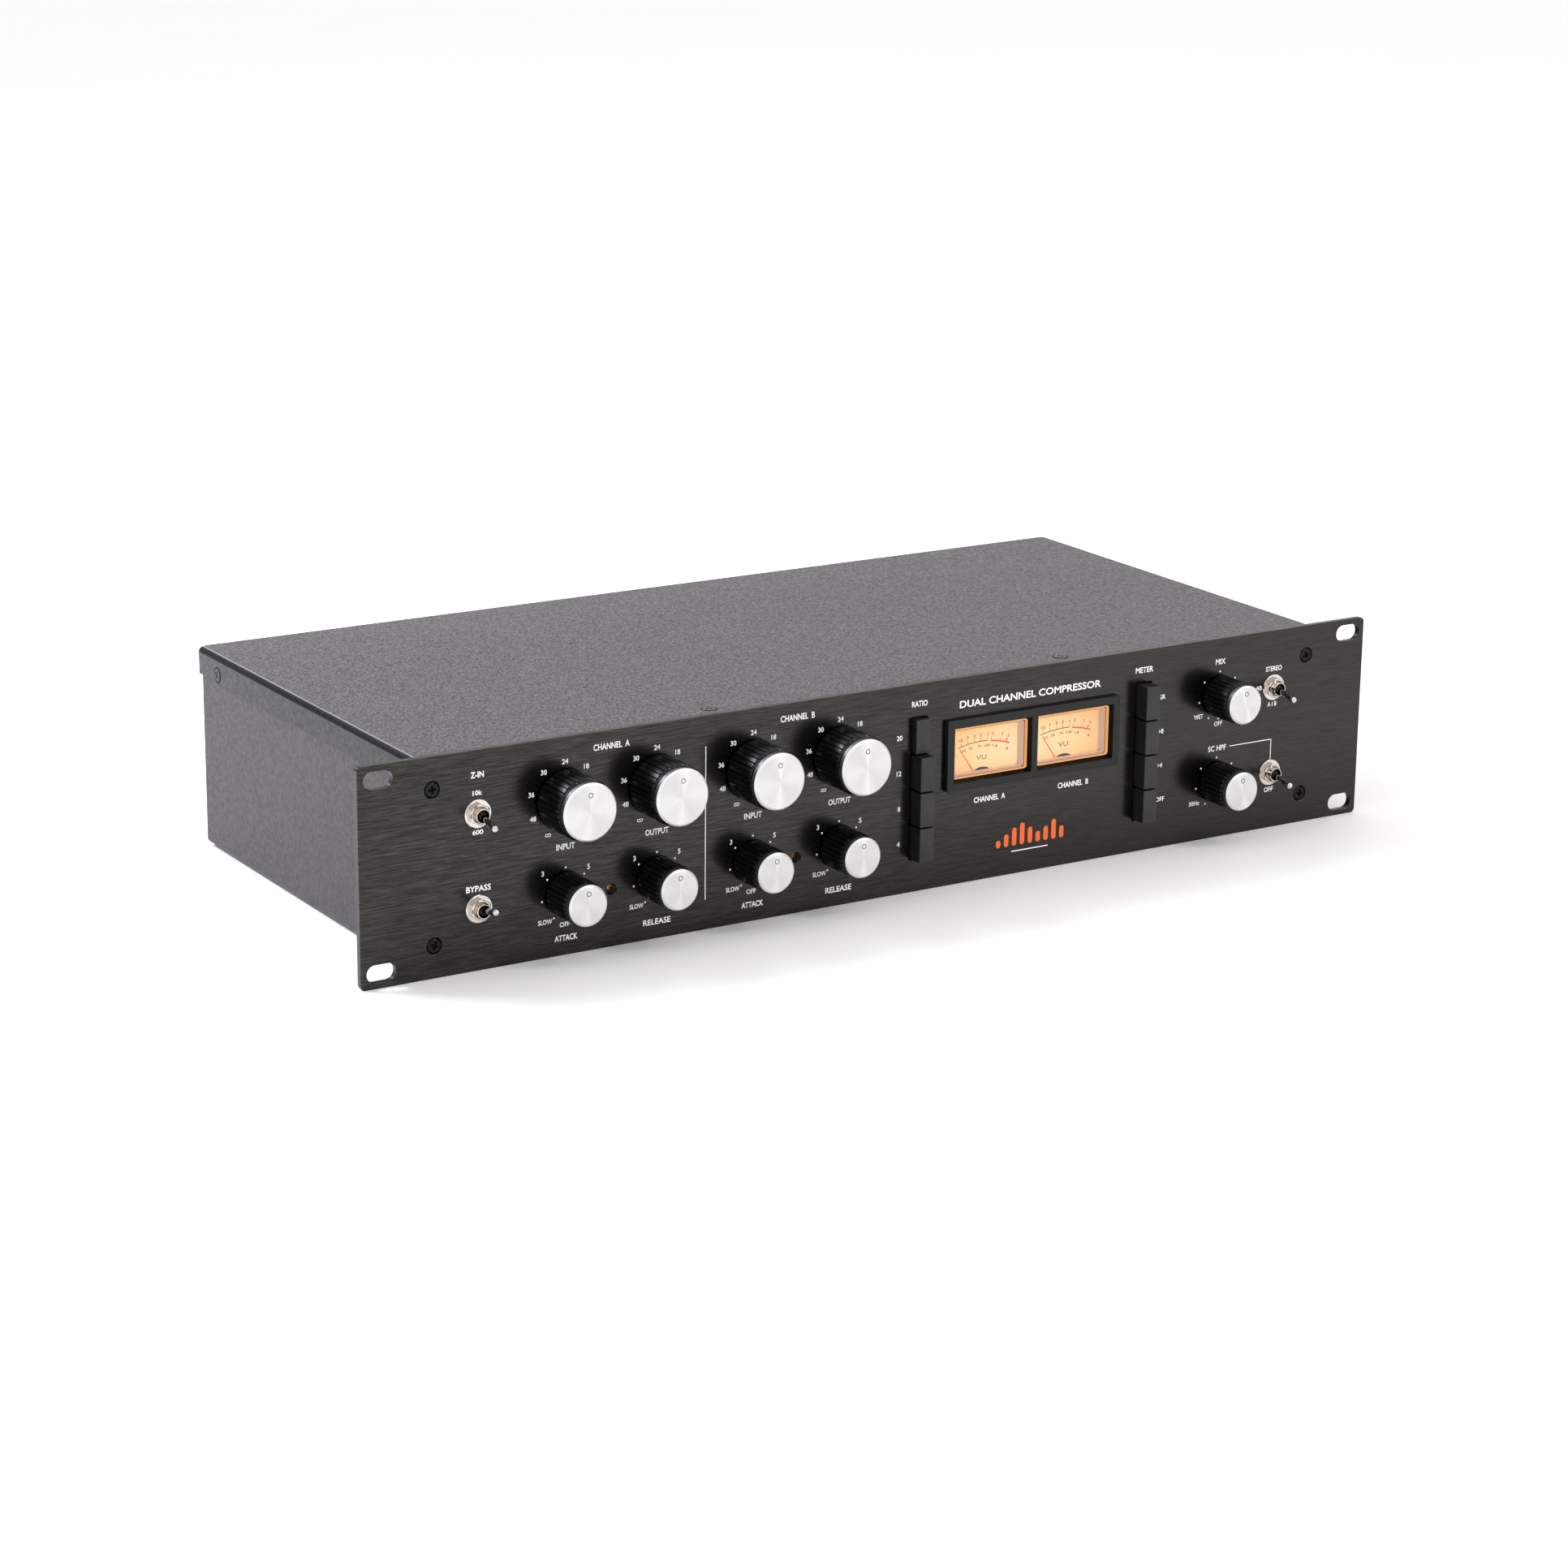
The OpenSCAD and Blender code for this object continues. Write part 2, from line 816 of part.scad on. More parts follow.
module trim_screw(x) {
    color("#c9a04a")
        translate([x + trim_offset_x, 0, trim_hole_z])
            difference() {
                rod_y(trim_screw_r, trim_screw_y, trim_screw_end);
                rotate([0, trim_slot_angle, 0])
                    box_y(trim_slot_w, 3 * trim_screw_r, trim_screw_y - cut, trim_screw_y + trim_slot_d);
            }
}

module meter_bezel() {
    neck_w = meter_pitch + window_w + 2 * bezel_neck_t;
    neck_h = window_h + 2 * bezel_neck_t;
    front_y = panel_front - bezel_out;
    color("#2a2a2a")
        translate([bezel_x, 0, bezel_z])
            difference() {
                union() {
                    plate_y(bezel_w, bezel_h, bezel_corner_r, front_y, panel_front);
                    box_y(neck_w, neck_h, panel_front, 0);
                }
                for (s = [-1, 1])
                    translate([s * meter_pitch / 2, 0, 0])
                        box_y(window_w, window_h, front_y - cut, cut);
            }
}

module at_meters() {
    for (x = meter_places)
        translate([x + lens_offset_x, 0, bezel_z])
            children();
}

// Each meter's case, with the magnet of its movement inside
module meter_bodies() {
    color("#202020")
        at_meters()
            translate([0, 0, -meter_drop])
                difference() {
                    box_y(meter_w, meter_h, meter_y, meter_d);
                    box_y(meter_w - 2 * meter_wall, meter_h - 2 * meter_wall,
                          meter_y - cut, meter_d - meter_wall);
                }
    color("#8a8a8a")
        at_meters()
            translate([0, 0, pivot_z - bezel_z])
                difference() {
                    box_y(magnet_w, magnet_h, movement_y, movement_y + movement_d);
                    rod_y(axle_r + run_gap, movement_y - cut, axle_end + small_gap, coarse_fn);
                }
}

// The dial is cut away at the foot, where the needle's hub sits
module meter_dials() {
    dial_w = meter_w - 2 * meter_wall - small_gap;
    dial_h = meter_h - 2 * meter_wall - 2 * meter_drop - small_gap;
    color("#ffd898")
        at_meters()
            difference() {
                box_y(dial_w, dial_h, dial_y, dial_y + dial_t);
                translate([0, 0, pivot_z - bezel_z])
                    rod_y(dial_foot_r, dial_y - cut, dial_y + dial_t + cut);
            }
}

module meter_lenses() {
    inner_w = lens_w - 2 * lens_t;
    inner_h = lens_h - 2 * lens_t;
    inner_y = panel_front + lens_t;
    color("#e8f0f4", 0.35)
        at_meters()
            difference() {
                union() {
                    plate_y(lens_w, lens_h, lens_corner_r, panel_front, lens_flange_y);
                    translate([0, 0, -meter_drop])
                        box_y(meter_w, meter_h, lens_flange_y, lens_flange_y + lens_flange_t);
                }
                box_y(inner_w, inner_h, inner_y, meter_y + cut);
            }
}

module needle(i) {
    color("#d23a2e")
        translate([meter_places[i] + lens_offset_x, 0, pivot_z])
            rotate([0, -needle_rest, 0]) {
                rod_y(hub_r, needle_y - needle_t, needle_y + 2 * needle_t);
                rod_y(axle_r, needle_y, axle_end, coarse_fn);
                translate([-needle_w / 2, needle_y - needle_t, -needle_tail_l])
                    cube([needle_w, needle_t, needle_l + needle_tail_l]);
            }
}

module main_board() {
    board_middle = (board_left + board_right) / 2;
    color("#1f5a34")
        translate([board_left, board_front, board_z])
            cube([board_right - board_left, board_rear - board_front, board_t]);
    color("#b0b0b0")
        for (x = [board_left + standoff_inset, board_middle, board_right - standoff_inset])
            for (y = [board_front + standoff_inset, board_rear - standoff_inset])
                translate([x, y, case_bottom + sheet_t])
                    cylinder(r = standoff_r, h = board_z - case_bottom - sheet_t, $fn = 6);
}

// The board behind the controls is notched round the meters
module control_board() {
    color("#1f5a34")
        difference() {
            translate([control_board_left, board_y, -control_board_half_h])
                cube([control_board_right - control_board_left, board_t, 2 * control_board_half_h]);
            translate([bezel_x + lens_offset_x, 0, bezel_z - meter_drop])
                box_y(meter_pitch + meter_w + 2 * board_notch_gap, meter_h + 2 * board_notch_gap,
                      board_y - cut, board_y + board_t + cut);
        }
}

module circuit_boards() {
    main_board();
    control_board();
}

module board_components() {
    top = board_z + board_t;
    color("#22304a")
        for (x = capacitor_xs, y = capacitor_ys)
            translate([x, y, top])
                cylinder(r = capacitor_r, h = capacitor_h);
    color("#202020") {
        for (x = chip_xs, y = chip_ys)
            translate([x, y, top])
                cube(chip_size);
        for (x = regulator_xs)
            translate([x, sink_y - regulator_size[1], top])
                cube(regulator_size);
    }
    color("#9a9a9a")
        translate([sink_x, sink_y, top])
            cube(sink_size);
}

module audio_transformers() {
    coil_bottom = (core_size[2] - coil_size[2]) / 2;
    for (x = audio_xs)
        translate([x, audio_y, board_z + board_t]) {
            color("#6d6d70")
                difference() {
                    translate([-core_size[0] / 2, -core_size[1] / 2, 0])
                        cube(core_size);
                    translate([-coil_size[0] / 2 - tiny, -core_size[1], coil_bottom - tiny])
                        cube([coil_size[0] + 2 * tiny, 2 * core_size[1], coil_size[2] + 2 * tiny]);
                }
            color("#b8702c")
                translate([-coil_size[0] / 2, -coil_size[1] / 2, coil_bottom])
                    cube(coil_size);
        }
}

module mains_transformer() {
    bottom = case_bottom + sheet_t;
    color("#c08a3c")
        translate([toroid_x, toroid_y, bottom])
            rotate_extrude()
                translate([(toroid_hole_r + toroid_r) / 2, toroid_h / 2])
                    round_rect(toroid_r - toroid_hole_r, toroid_h, toroid_corner_r);
    color("#b0b0b0")
        translate([toroid_x, toroid_y, bottom]) {
            cylinder(r = toroid_bolt_r, h = toroid_h + toroid_bolt_end);
            translate([0, 0, toroid_h + tiny])
                cylinder(r = toroid_washer_r, h = toroid_washer_t);
        }
}

module at_xlr_screws() {
    for (s = [-1, 1])
        translate([s * xlr_screw_dx, tray_rear + flange_t, s * xlr_screw_dz])
            children();
}

module at_inlet_screws() {
    for (s = [-1, 1])
        translate([s * inlet_screw_dx, tray_rear + flange_t, 0])
            children();
}

module xlr_shell() {
    difference() {
        union() {
            plate_y(xlr_w, xlr_h, xlr_corner_r, tray_rear, tray_rear + flange_t);
            rod_y(xlr_r, tray_rear - xlr_depth, tray_rear);
        }
        at_xlr_screws()
            rod_y(screw_r + hole_gap, -sheet_screw_l - cut, cut, coarse_fn);
        children();
    }
}

module at_xlr_pins() {
    for (a = [0, 120, 240])
        rotate([0, a, 0])
            translate([0, 0, -xlr_pin_circle_r])
                children();
}

// A socket with three holes, and a ring groove that takes the plug's shell
module xlr_female() {
    mouth_y = tray_rear + flange_t;
    xlr_shell() {
        difference() {
            rod_y(xlr_groove_r, mouth_y - xlr_cup_d, mouth_y + cut);
            rod_y(xlr_cup_r - cut, mouth_y - xlr_cup_d - cut, mouth_y - cut);
        }
        at_xlr_pins()
            rod_y(xlr_pin_r + small_gap, mouth_y - xlr_cup_d, mouth_y + cut, coarse_fn);
    }
}

// A cup with three pins
module xlr_male() {
    mouth_y = tray_rear + flange_t;
    floor_y = mouth_y - xlr_cup_d;
    xlr_shell()
        rod_y(xlr_cup_r, floor_y, mouth_y + cut);
    at_xlr_pins()
        rod_y(xlr_pin_r, floor_y - cut, floor_y + xlr_pin_l, coarse_fn);
}

module xlr_inputs() {
    color("#26262a")
        for (x = rear_places)
            translate([x + xlr_dx[0], 0, 0])
                xlr_female();
}

module xlr_outputs() {
    color("#26262a")
        for (x = rear_places)
            translate([x + xlr_dx[1], 0, 0])
                xlr_male();
}

// A pan-head screw whose head sits on y = 0 and whose thread runs along -Y
module pan_screw() {
    difference() {
        union() {
            rod_y(pan_head_r, 0, pan_head_h, coarse_fn);
            rod_y(screw_r, -sheet_screw_l, 0, coarse_fn);
        }
        for (a = [0, 90])
            rotate([0, a, 0])
                box_y(recess_arm, recess_w, pan_head_h - recess_depth, pan_head_h + cut);
    }
}

module connector_screws() {
    color("#c4c4c4") {
        for (x = rear_places)
            for (dx = xlr_dx)
                translate([x + dx, 0, 0])
                    at_xlr_screws()
                        pan_screw();
        translate([inlet_x, 0, 0])
            at_inlet_screws()
                pan_screw();
    }
}

module jack_socket() {
    nut_r = jack_nut_af / 2 / cos(30);
    mouth_y = tray_rear + jack_out;
    inner_y = mouth_y - jack_l;
    color("#1c1c1e")
        difference() {
            union() {
                rod_y(jack_bush_r, tray_inner_rear - cut, mouth_y);
                box_y(jack_body, jack_body, inner_y - jack_wall, tray_inner_rear - tiny);
            }
            rod_y(jack_r, inner_y, mouth_y + cut);
        }
    color("#c8c8c8")
        difference() {
            rod_y(nut_r, tray_rear, tray_rear + jack_nut_h, 6);
            rod_y(jack_bush_r + hole_gap, tray_rear - cut, tray_rear + jack_nut_h + cut);
        }
}

module jack_sockets() {
    for (x = rear_places, s = [-1, 1])
        translate([x + jack_dx, 0, s * jack_dz])
            jack_socket();
}

module power_inlet() {
    mouth_y = tray_rear + flange_t;
    iec_floor_y = mouth_y - iec_d;
    pocket_w = rocker_w + 2 * small_gap;
    pivot_y = tray_rear + rocker_pivot_out;
    color("#1a1a1c")
        translate([inlet_x, 0, 0])
            difference() {
                union() {
                    plate_y(inlet_w, inlet_h, inlet_corner_r, tray_rear, mouth_y);
                    box_y(inlet_body_w, inlet_body_h, mouth_y - inlet_depth, tray_rear);
                }
                translate([iec_dx, 0, 0])
                    box_y(iec_w, iec_h, iec_floor_y, mouth_y + cut);
                translate([rocker_dx, 0, 0])
                    box_y(pocket_w, rocker_pocket_h, pivot_y - rocker_pocket_d, mouth_y + cut);
                translate([rocker_dx, pivot_y, 0])
                    rotate([0, 90, 0])
                        cylinder(r = rocker_axle_r + run_gap, h = rocker_axle_l + 2 * run_gap,
                                 center = true);
                at_inlet_screws()
                    rod_y(screw_r + hole_gap, -sheet_screw_l - cut, cut, coarse_fn);
            }
    color("#c4c4c4")
        translate([inlet_x + iec_dx, 0, 0])
            for (p = iec_pin_places)
                translate([p[0], 0, p[1]])
                    box_y(iec_pin_w, iec_pin_h, iec_floor_y - cut, iec_floor_y + iec_pin_l);
}

// The rocker's outline in the Y-Z plane is a shallow V over a rounded heel
module power_rocker() {
    color("#7a1616")
        translate([inlet_x + rocker_dx, tray_rear + rocker_pivot_out, 0])
            rotate([rocker_tilt, 0, 0]) {
                rotate([90, 0, 90]) {
                    linear_extrude(height = rocker_w, center = true) {
                        polygon([[0, -rocker_h / 2], [rocker_crest, -rocker_h / 2],
                                 [rocker_valley, 0], [rocker_crest, rocker_h / 2],
                                 [0, rocker_h / 2]]);
                        circle(r = rocker_heel_r);
                    }
                    cylinder(r = rocker_axle_r, h = rocker_axle_l, center = true);
                }
            }
}

front_panel();
chassis_tray();
rear_wall();
top_cover();
case_screws();
meter_bezel();
meter_bodies();
meter_dials();
meter_lenses();
needle(0);  // needle_a
needle(1);  // needle_b
potentiometers();
toggle_switches();
toggle_nuts();
lever(0, toggle_tilt);  // lever_input_pad
lever(1, -toggle_tilt);  // lever_bypass
lever(2, toggle_tilt);  // lever_stereo
lever(3, toggle_tilt);  // lever_filter
button_switch_banks();
trimmer_bodies();
trim_screw(trim_places[0]);  // trim_screw_a
trim_screw(trim_places[1]);  // trim_screw_b
circuit_boards();
board_components();
audio_transformers();
mains_transformer();
xlr_inputs();
xlr_outputs();
connector_screws();
jack_sockets();
power_inlet();
power_rocker();
button(ratio_x, 0, button_travel);  // button_ratio_1
for (i = [1 : bank_count - 1])
    button(ratio_x, i, 0);
for (i = [0 : bank_count - 1])
    button(meter_button_x, i, 0);
for (i = [0 : len(knob_names) - 1])
    knob(i);
for (i = [0 : len(knob_names) - 1])
    cap(i);
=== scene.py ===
import bmesh
import bpy
import json
from math import cos, hypot, pi, radians, sin
from mathutils import Matrix, Vector

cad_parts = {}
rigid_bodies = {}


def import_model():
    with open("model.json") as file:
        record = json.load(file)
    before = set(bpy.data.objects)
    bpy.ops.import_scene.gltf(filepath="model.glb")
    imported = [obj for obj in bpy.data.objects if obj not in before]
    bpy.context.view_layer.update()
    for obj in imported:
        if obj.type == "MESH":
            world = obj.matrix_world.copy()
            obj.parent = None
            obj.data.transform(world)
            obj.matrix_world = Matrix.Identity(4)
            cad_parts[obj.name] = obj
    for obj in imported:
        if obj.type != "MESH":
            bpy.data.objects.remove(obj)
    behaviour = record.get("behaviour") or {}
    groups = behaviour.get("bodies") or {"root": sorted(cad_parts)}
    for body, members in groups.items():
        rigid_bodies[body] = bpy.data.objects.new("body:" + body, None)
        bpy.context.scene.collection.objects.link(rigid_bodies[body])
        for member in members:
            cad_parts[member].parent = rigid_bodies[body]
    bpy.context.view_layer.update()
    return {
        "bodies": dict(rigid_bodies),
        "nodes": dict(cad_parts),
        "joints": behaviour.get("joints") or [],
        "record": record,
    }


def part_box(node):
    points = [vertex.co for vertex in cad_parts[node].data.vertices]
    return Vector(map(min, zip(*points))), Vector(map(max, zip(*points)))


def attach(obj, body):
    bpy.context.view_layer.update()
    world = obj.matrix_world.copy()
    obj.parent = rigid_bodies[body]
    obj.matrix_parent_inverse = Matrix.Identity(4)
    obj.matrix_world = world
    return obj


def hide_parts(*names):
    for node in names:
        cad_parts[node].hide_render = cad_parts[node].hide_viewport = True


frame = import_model()

# Everything below is worked out in millimetres and scaled once, when a mesh or an object is made.
MM = 0.001
CASE = "case"
JOINTS = {joint["child"]: joint for joint in frame["joints"]}


def box(node):
    """Lowest and highest corners of a CAD node, in millimetres."""
    low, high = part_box(node)
    return low / MM, high / MM


def middle(node):
    low, high = box(node)
    return (low + high) / 2


# ---------------------------------------------------------------- materials

class Shader:
    """A Principled material whose variation comes from procedural nodes."""

    def __init__(self, name, color, roughness=0.5, metallic=0.0, **sockets):
        self.material = bpy.data.materials.new(name)
        self.material.use_nodes = True
        self.nodes = self.material.node_tree.nodes
        self.links = self.material.node_tree.links
        self.principled = self.nodes["Principled BSDF"]
        self.color = color
        self.set("Base Color", (*color, 1.0))
        self.set("Roughness", roughness)
        self.set("Metallic", metallic)
        for socket, value in sockets.items():
            self.set(socket.replace("_", " "), value)

    def set(self, socket, value):
        self.principled.inputs[socket].default_value = value

    def node(self, kind, **inputs):
        node = self.nodes.new(kind)
        for name, value in inputs.items():
            socket = node.inputs[name.replace("_", " ")]
            if isinstance(value, bpy.types.NodeSocket):
                self.links.new(value, socket)
            else:
                socket.default_value = value
        return node

    def place(self, stretch=(1, 1, 1)):
        """Object coordinates in metres, stretched along each axis."""
        coordinate = self.nodes.new("ShaderNodeTexCoord")
        mapping = self.node("ShaderNodeMapping", Vector=coordinate.outputs["Object"], Scale=stretch)
        return mapping.outputs["Vector"]

    def noise(self, scale, stretch=(1, 1, 1), detail=4.0, roughness=0.6):
        texture = self.node("ShaderNodeTexNoise", Vector=self.place(stretch), Scale=scale,
                            Detail=detail, Roughness=roughness)
        return texture.outputs["Fac"]

    def ramp(self, factor, stops):
        ramp = self.node("ShaderNodeValToRGB", Fac=factor)
        elements = ramp.color_ramp.elements
        while len(elements) < len(stops):
            elements.new(0.5)
        for element, (position, color) in zip(elements, stops):
            element.position = position
            element.color = (*color, 1.0)
        return ramp.outputs["Color"]

    def spread(self, factor, low, high, start=0.3, end=0.7):
        """Maps a 0 to 1 factor onto low to high, clamped."""
        mapped = self.nodes.new("ShaderNodeMapRange")
        self.links.new(factor, mapped.inputs["Value"])
        for name, value in (("From Min", start), ("From Max", end), ("To Min", low), ("To Max", high)):
            mapped.inputs[name].default_value = value
        return mapped.outputs["Result"]

    def along_x(self, start, end):
        """0 to 1 between two places along the panel, in millimetres."""
        split = self.node("ShaderNodeSeparateXYZ", Vector=self.place())
        return self.spread(split.outputs["X"], 0.0, 1.0, start * MM, end * MM)

    def link(self, output, socket):
        self.links.new(output, self.principled.inputs[socket])

    def tint(self, factor, low=0.7, high=1.3, start=0.3, end=0.7):
        """Varies the base colour between two brightnesses."""
        dark = [min(1.0, c * low) for c in self.color]
        light = [min(1.0, c * high) for c in self.color]
        self.link(self.ramp(self.spread(factor, 0.0, 1.0, start, end), [(0.0, dark), (1.0, light)]),
                  "Base Color")

    def rough(self, factor, low, high, start=0.3, end=0.7):
        self.link(self.spread(factor, low, high, start, end), "Roughness")

    def bump(self, height, strength, distance):
        bump = self.node("ShaderNodeBump", Height=height, Strength=strength, Distance=distance * MM)
        self.link(bump.outputs["Normal"], "Normal")


def moulded(name, color, roughness, grain=2600.0, strength=0.12, spread=0.08, **sockets):
    """Moulded plastic: fine grain, with faint cloudy wear in its gloss."""
    shader = Shader(name, color, roughness, 0.0, **sockets)
    cloud = shader.noise(60.0)
    shader.tint(cloud, 0.88, 1.12)
    shader.rough(cloud, max(0.02, roughness - spread), roughness + spread)
    shader.bump(shader.noise(grain, detail=2.0), strength, 0.02)
    return shader.material


def metal(name, color, roughness, scale=900.0, spread=0.07, strength=0.05):
    """Bare or plated metal with fine scratches and handling marks."""
    shader = Shader(name, color, roughness, 1.0)
    scratches = shader.noise(scale, detail=3.0)
    marks = shader.noise(90.0)
    shader.tint(marks, 0.93, 1.05)
    shader.rough(scratches, max(0.02, roughness - spread), roughness + spread)
    shader.bump(scratches, strength, 0.01)
    return shader.material


# Painted sheen: where along the panel, in millimetres, the streaks' tone calms, how far, and the even level
# it calms to.
PAINTED_SHEEN_START, PAINTED_SHEEN_END = -170, 110
PAINTED_SHEEN_FADE, NO_SHEEN_LEVEL = 0.68, 0.53


def brushed_black():
    """Black anodised aluminium, brushed along X in fine streaks, with painted sheen: the streaks' light and
    dark tone is strongest at the left and calms towards the right.
    """
    shader = Shader("panel_anodised", (0.046, 0.0425, 0.0415), 0.24, 1.0)
    coarse = shader.noise(1.0, (100, 100, 4600), detail=3.0, roughness=0.75)
    # The painted sheen fades from the left end towards the right; roughness and bump follow it too.
    sheen_fade = shader.node("ShaderNodeMath", Value=shader.along_x(PAINTED_SHEEN_START, PAINTED_SHEEN_END))
    sheen_fade.operation = "MULTIPLY"
    sheen_fade.inputs[1].default_value = PAINTED_SHEEN_FADE
    mixed = shader.node("ShaderNodeMix", Factor=sheen_fade.outputs[0], A=coarse, B=NO_SHEEN_LEVEL)
    streaks = mixed.outputs["Result"]
    shader.tint(streaks, 0.55, 1.7, 0.42, 0.7)
    shader.rough(streaks, 0.28, 0.16, 0.36, 0.66)
    shader.bump(streaks, 0.15, 0.01)
    return shader.material


def powder_coat(name, base, contrast, grain, strength, gloss=0.42):
    """Fine textured grey powder coat, whose light speckle has that contrast."""
    shader = Shader(name, base, 0.5, 0.0, Specular_IOR_Level=gloss)
    speckle = shader.noise(1.0, grain, detail=3.0, roughness=0.8)
    lumps = shader.noise(520.0, detail=2.0)
    shader.tint(speckle, 1.0 - contrast, 1.0 + 1.7 * contrast, 0.36, 0.64)
    shader.rough(lumps, 0.42, 0.6)
    shader.bump(speckle, strength, 0.08)
    return shader.material


def spun_aluminium():
    """Turned face: the anisotropic highlight fans out from the middle of the cap."""
    shader = Shader("spun_aluminium", (0.66, 0.65, 0.64), 0.38, 1.0, Anisotropic=0.85,
                    Anisotropic_Rotation=0.25)
    tangent = shader.nodes.new("ShaderNodeTangent")
    tangent.direction_type = "RADIAL"
    tangent.axis = "Y"
    shader.link(tangent.outputs["Tangent"], "Tangent")
    fine = shader.noise(3200.0, detail=2.0)
    shader.tint(fine, 0.985, 1.01)
    shader.rough(fine, 0.37, 0.39)
    return shader.material


def dial_card():
    """Printed card, lit from behind: cream in the middle and amber round the rim."""
    shader = Shader("dial_card", (0.42, 0.3, 0.2), 0.6)
    centre = shader.node("ShaderNodeVectorMath")
    centre.operation = "LENGTH"
    place = shader.nodes.new("ShaderNodeTexCoord").outputs["Generated"]
    offset = shader.node("ShaderNodeMapping", Vector=place, Location=(-0.5, 0, -0.32), Scale=(1.0, 0, 0.9))
    shader.links.new(offset.outputs["Vector"], centre.inputs[0])
    paper = shader.noise(700.0, detail=2.0)
    glow = shader.ramp(centre.outputs["Value"], [(0.0, (1.0, 0.74, 0.39)), (0.34, (0.96, 0.61, 0.26)),
                                                 (0.62, (0.85, 0.42, 0.11))])
    shader.link(glow, "Emission Color")
    shader.set("Emission Strength", 0.78)
    shader.tint(paper, 0.97, 1.0)
    return shader.material


def lens_glass():
    """Clear acrylic with faint smears in its gloss."""
    shader = Shader("lens_acrylic", (1.0, 0.99, 0.97), 0.02, 0.0, Transmission_Weight=1.0, IOR=1.3)
    shader.rough(shader.noise(45.0), 0.0, 0.035)
    return shader.material


def printed(name, color, roughness=0.55, painted_glow=0.0):
    """Screen-printed ink, a little uneven; painted_glow, when given, makes it glow with painted light."""
    shader = Shader(name, color, roughness)
    shader.tint(shader.noise(1500.0, detail=2.0), 0.93, 1.04)
    if painted_glow:
        shader.set("Emission Color", (*color, 1.0))
        shader.set("Emission Strength", painted_glow)
    return shader.material


def circuit_board():
    """Green solder mask with the paler tracks of a routed board."""
    shader = Shader("circuit_board", (0.02, 0.14, 0.06), 0.35)
    tracks = shader.node("ShaderNodeTexBrick", Vector=shader.place(), Scale=160.0,
                         Mortar_Size=0.03, Color1=(0.015, 0.11, 0.045, 1), Color2=(0.02, 0.15, 0.06, 1),
                         Mortar=(0.06, 0.27, 0.12, 1))
    shader.link(tracks.outputs["Color"], "Base Color")
    shader.bump(shader.noise(900.0), 0.1, 0.02)
    return shader.material


def wound(name, color, stretch):
    """Tape or wire laid in turns."""
    shader = Shader(name, color, 0.4)
    turns = shader.noise(1.0, stretch, detail=2.0)
    shader.tint(turns, 0.6, 1.35, 0.35, 0.65)
    shader.bump(turns, 0.6, 0.2)
    return shader.material


PANEL = brushed_black()
# Painted shade: a darker, duller copy of the panel's black for the walls of its holes and its edges.
CUT_EDGE_SHADE = moulded("panel_cut_edges", (0.006, 0.0055, 0.005), 0.3, 1800.0, 0.1, Specular_IOR_Level=0.2)
POWDER = powder_coat("powder_coat", (0.044, 0.0385, 0.044), 0.98, (1250, 620, 1250), 0.8)
# Shaded copy of the powder coat, painted darker for the cover's sides.
FLANGE_SHADE = powder_coat("powder_coat_flange", (0.021, 0.018, 0.0205), 0.7, (1700, 1700, 1700), 0.3, 0.34)
SATIN = powder_coat("powder_coat_satin", (0.036, 0.03, 0.0338), 0.22, (1900, 1500, 1500), 0.2, 0.38)
# Painted shade and a painted highlight for the cover's folds.
FOLD_SHADE = powder_coat("fold_shade", (0.004, 0.0036, 0.0044), 0.4, (1500, 1500, 1500), 0.2, 0.06)
FOLD_HIGHLIGHT = powder_coat("fold_shine", (0.15, 0.145, 0.17), 0.3, (1500, 1500, 1500), 0.2)
ALUMINIUM = spun_aluminium()
EDGE = metal("turned_edge", (0.78, 0.775, 0.77), 0.48, 1200.0)
NICKEL = metal("bright_nickel", (0.62, 0.57, 0.54), 0.14, 700.0, 0.05)
BUSH = metal("nickel_over_brass", (0.6, 0.52, 0.43), 0.12, 700.0, 0.05)
# Painted shade: a darker copy of the tip's chrome for the levers' shafts.
LEVER_CHROME_SHADE = metal("dark_chrome", (0.4, 0.39, 0.39), 0.08, 500.0, 0.03, 0.02)
TIP = metal("bright_chrome", (0.58, 0.56, 0.55), 0.1, 500.0, 0.03, 0.02)
SKIRT = moulded("knob_plastic", (0.003, 0.003, 0.0036), 0.28, 3000.0, 0.02, 0.04, Specular_IOR_Level=0.22)
BUTTON = moulded("button_plastic", (0.008, 0.0074, 0.007), 0.42, 3200.0, 0.2, Specular_IOR_Level=0.5)
BEZEL = moulded("bezel_plastic", (0.008, 0.008, 0.008), 0.42, 3600.0, 0.2, Specular_IOR_Level=0.29)
# Black plastic of the meter and switch bodies, also used as painted shade in the bezel window walls and in
# the screws' cross recesses and rings.
BLACK_PLASTIC_AND_SHADE = moulded("meter_case_plastic", (0.002, 0.002, 0.002), 0.6, Specular_IOR_Level=0.1)
# Black oxide of the case screws, also used as painted shade on the lever balls inside their bushes.
BLACK_OXIDE_AND_SHADE = metal("black_oxide", (0.02, 0.0195, 0.0195), 0.2, 1200.0, 0.1, 0.1)
ZINC = metal("zinc_plate", (0.6, 0.61, 0.62), 0.24, 1100.0, 0.08)
STEEL = metal("plated_steel", (0.5, 0.5, 0.5), 0.35, 800.0, 0.1)
BRASS = metal("brass", (0.8, 0.52, 0.2), 0.25, 1500.0, 0.08)
CONNECTOR = moulded("connector_plastic", (0.014, 0.014, 0.015), 0.4)
TRIMMER = moulded("trimmer_plastic", (0.02, 0.07, 0.35), 0.4)
ROCKER = moulded("rocker_plastic", (0.012, 0.012, 0.012), 0.22)
COMPONENT = moulded("component_plastic", (0.03, 0.03, 0.05), 0.4)
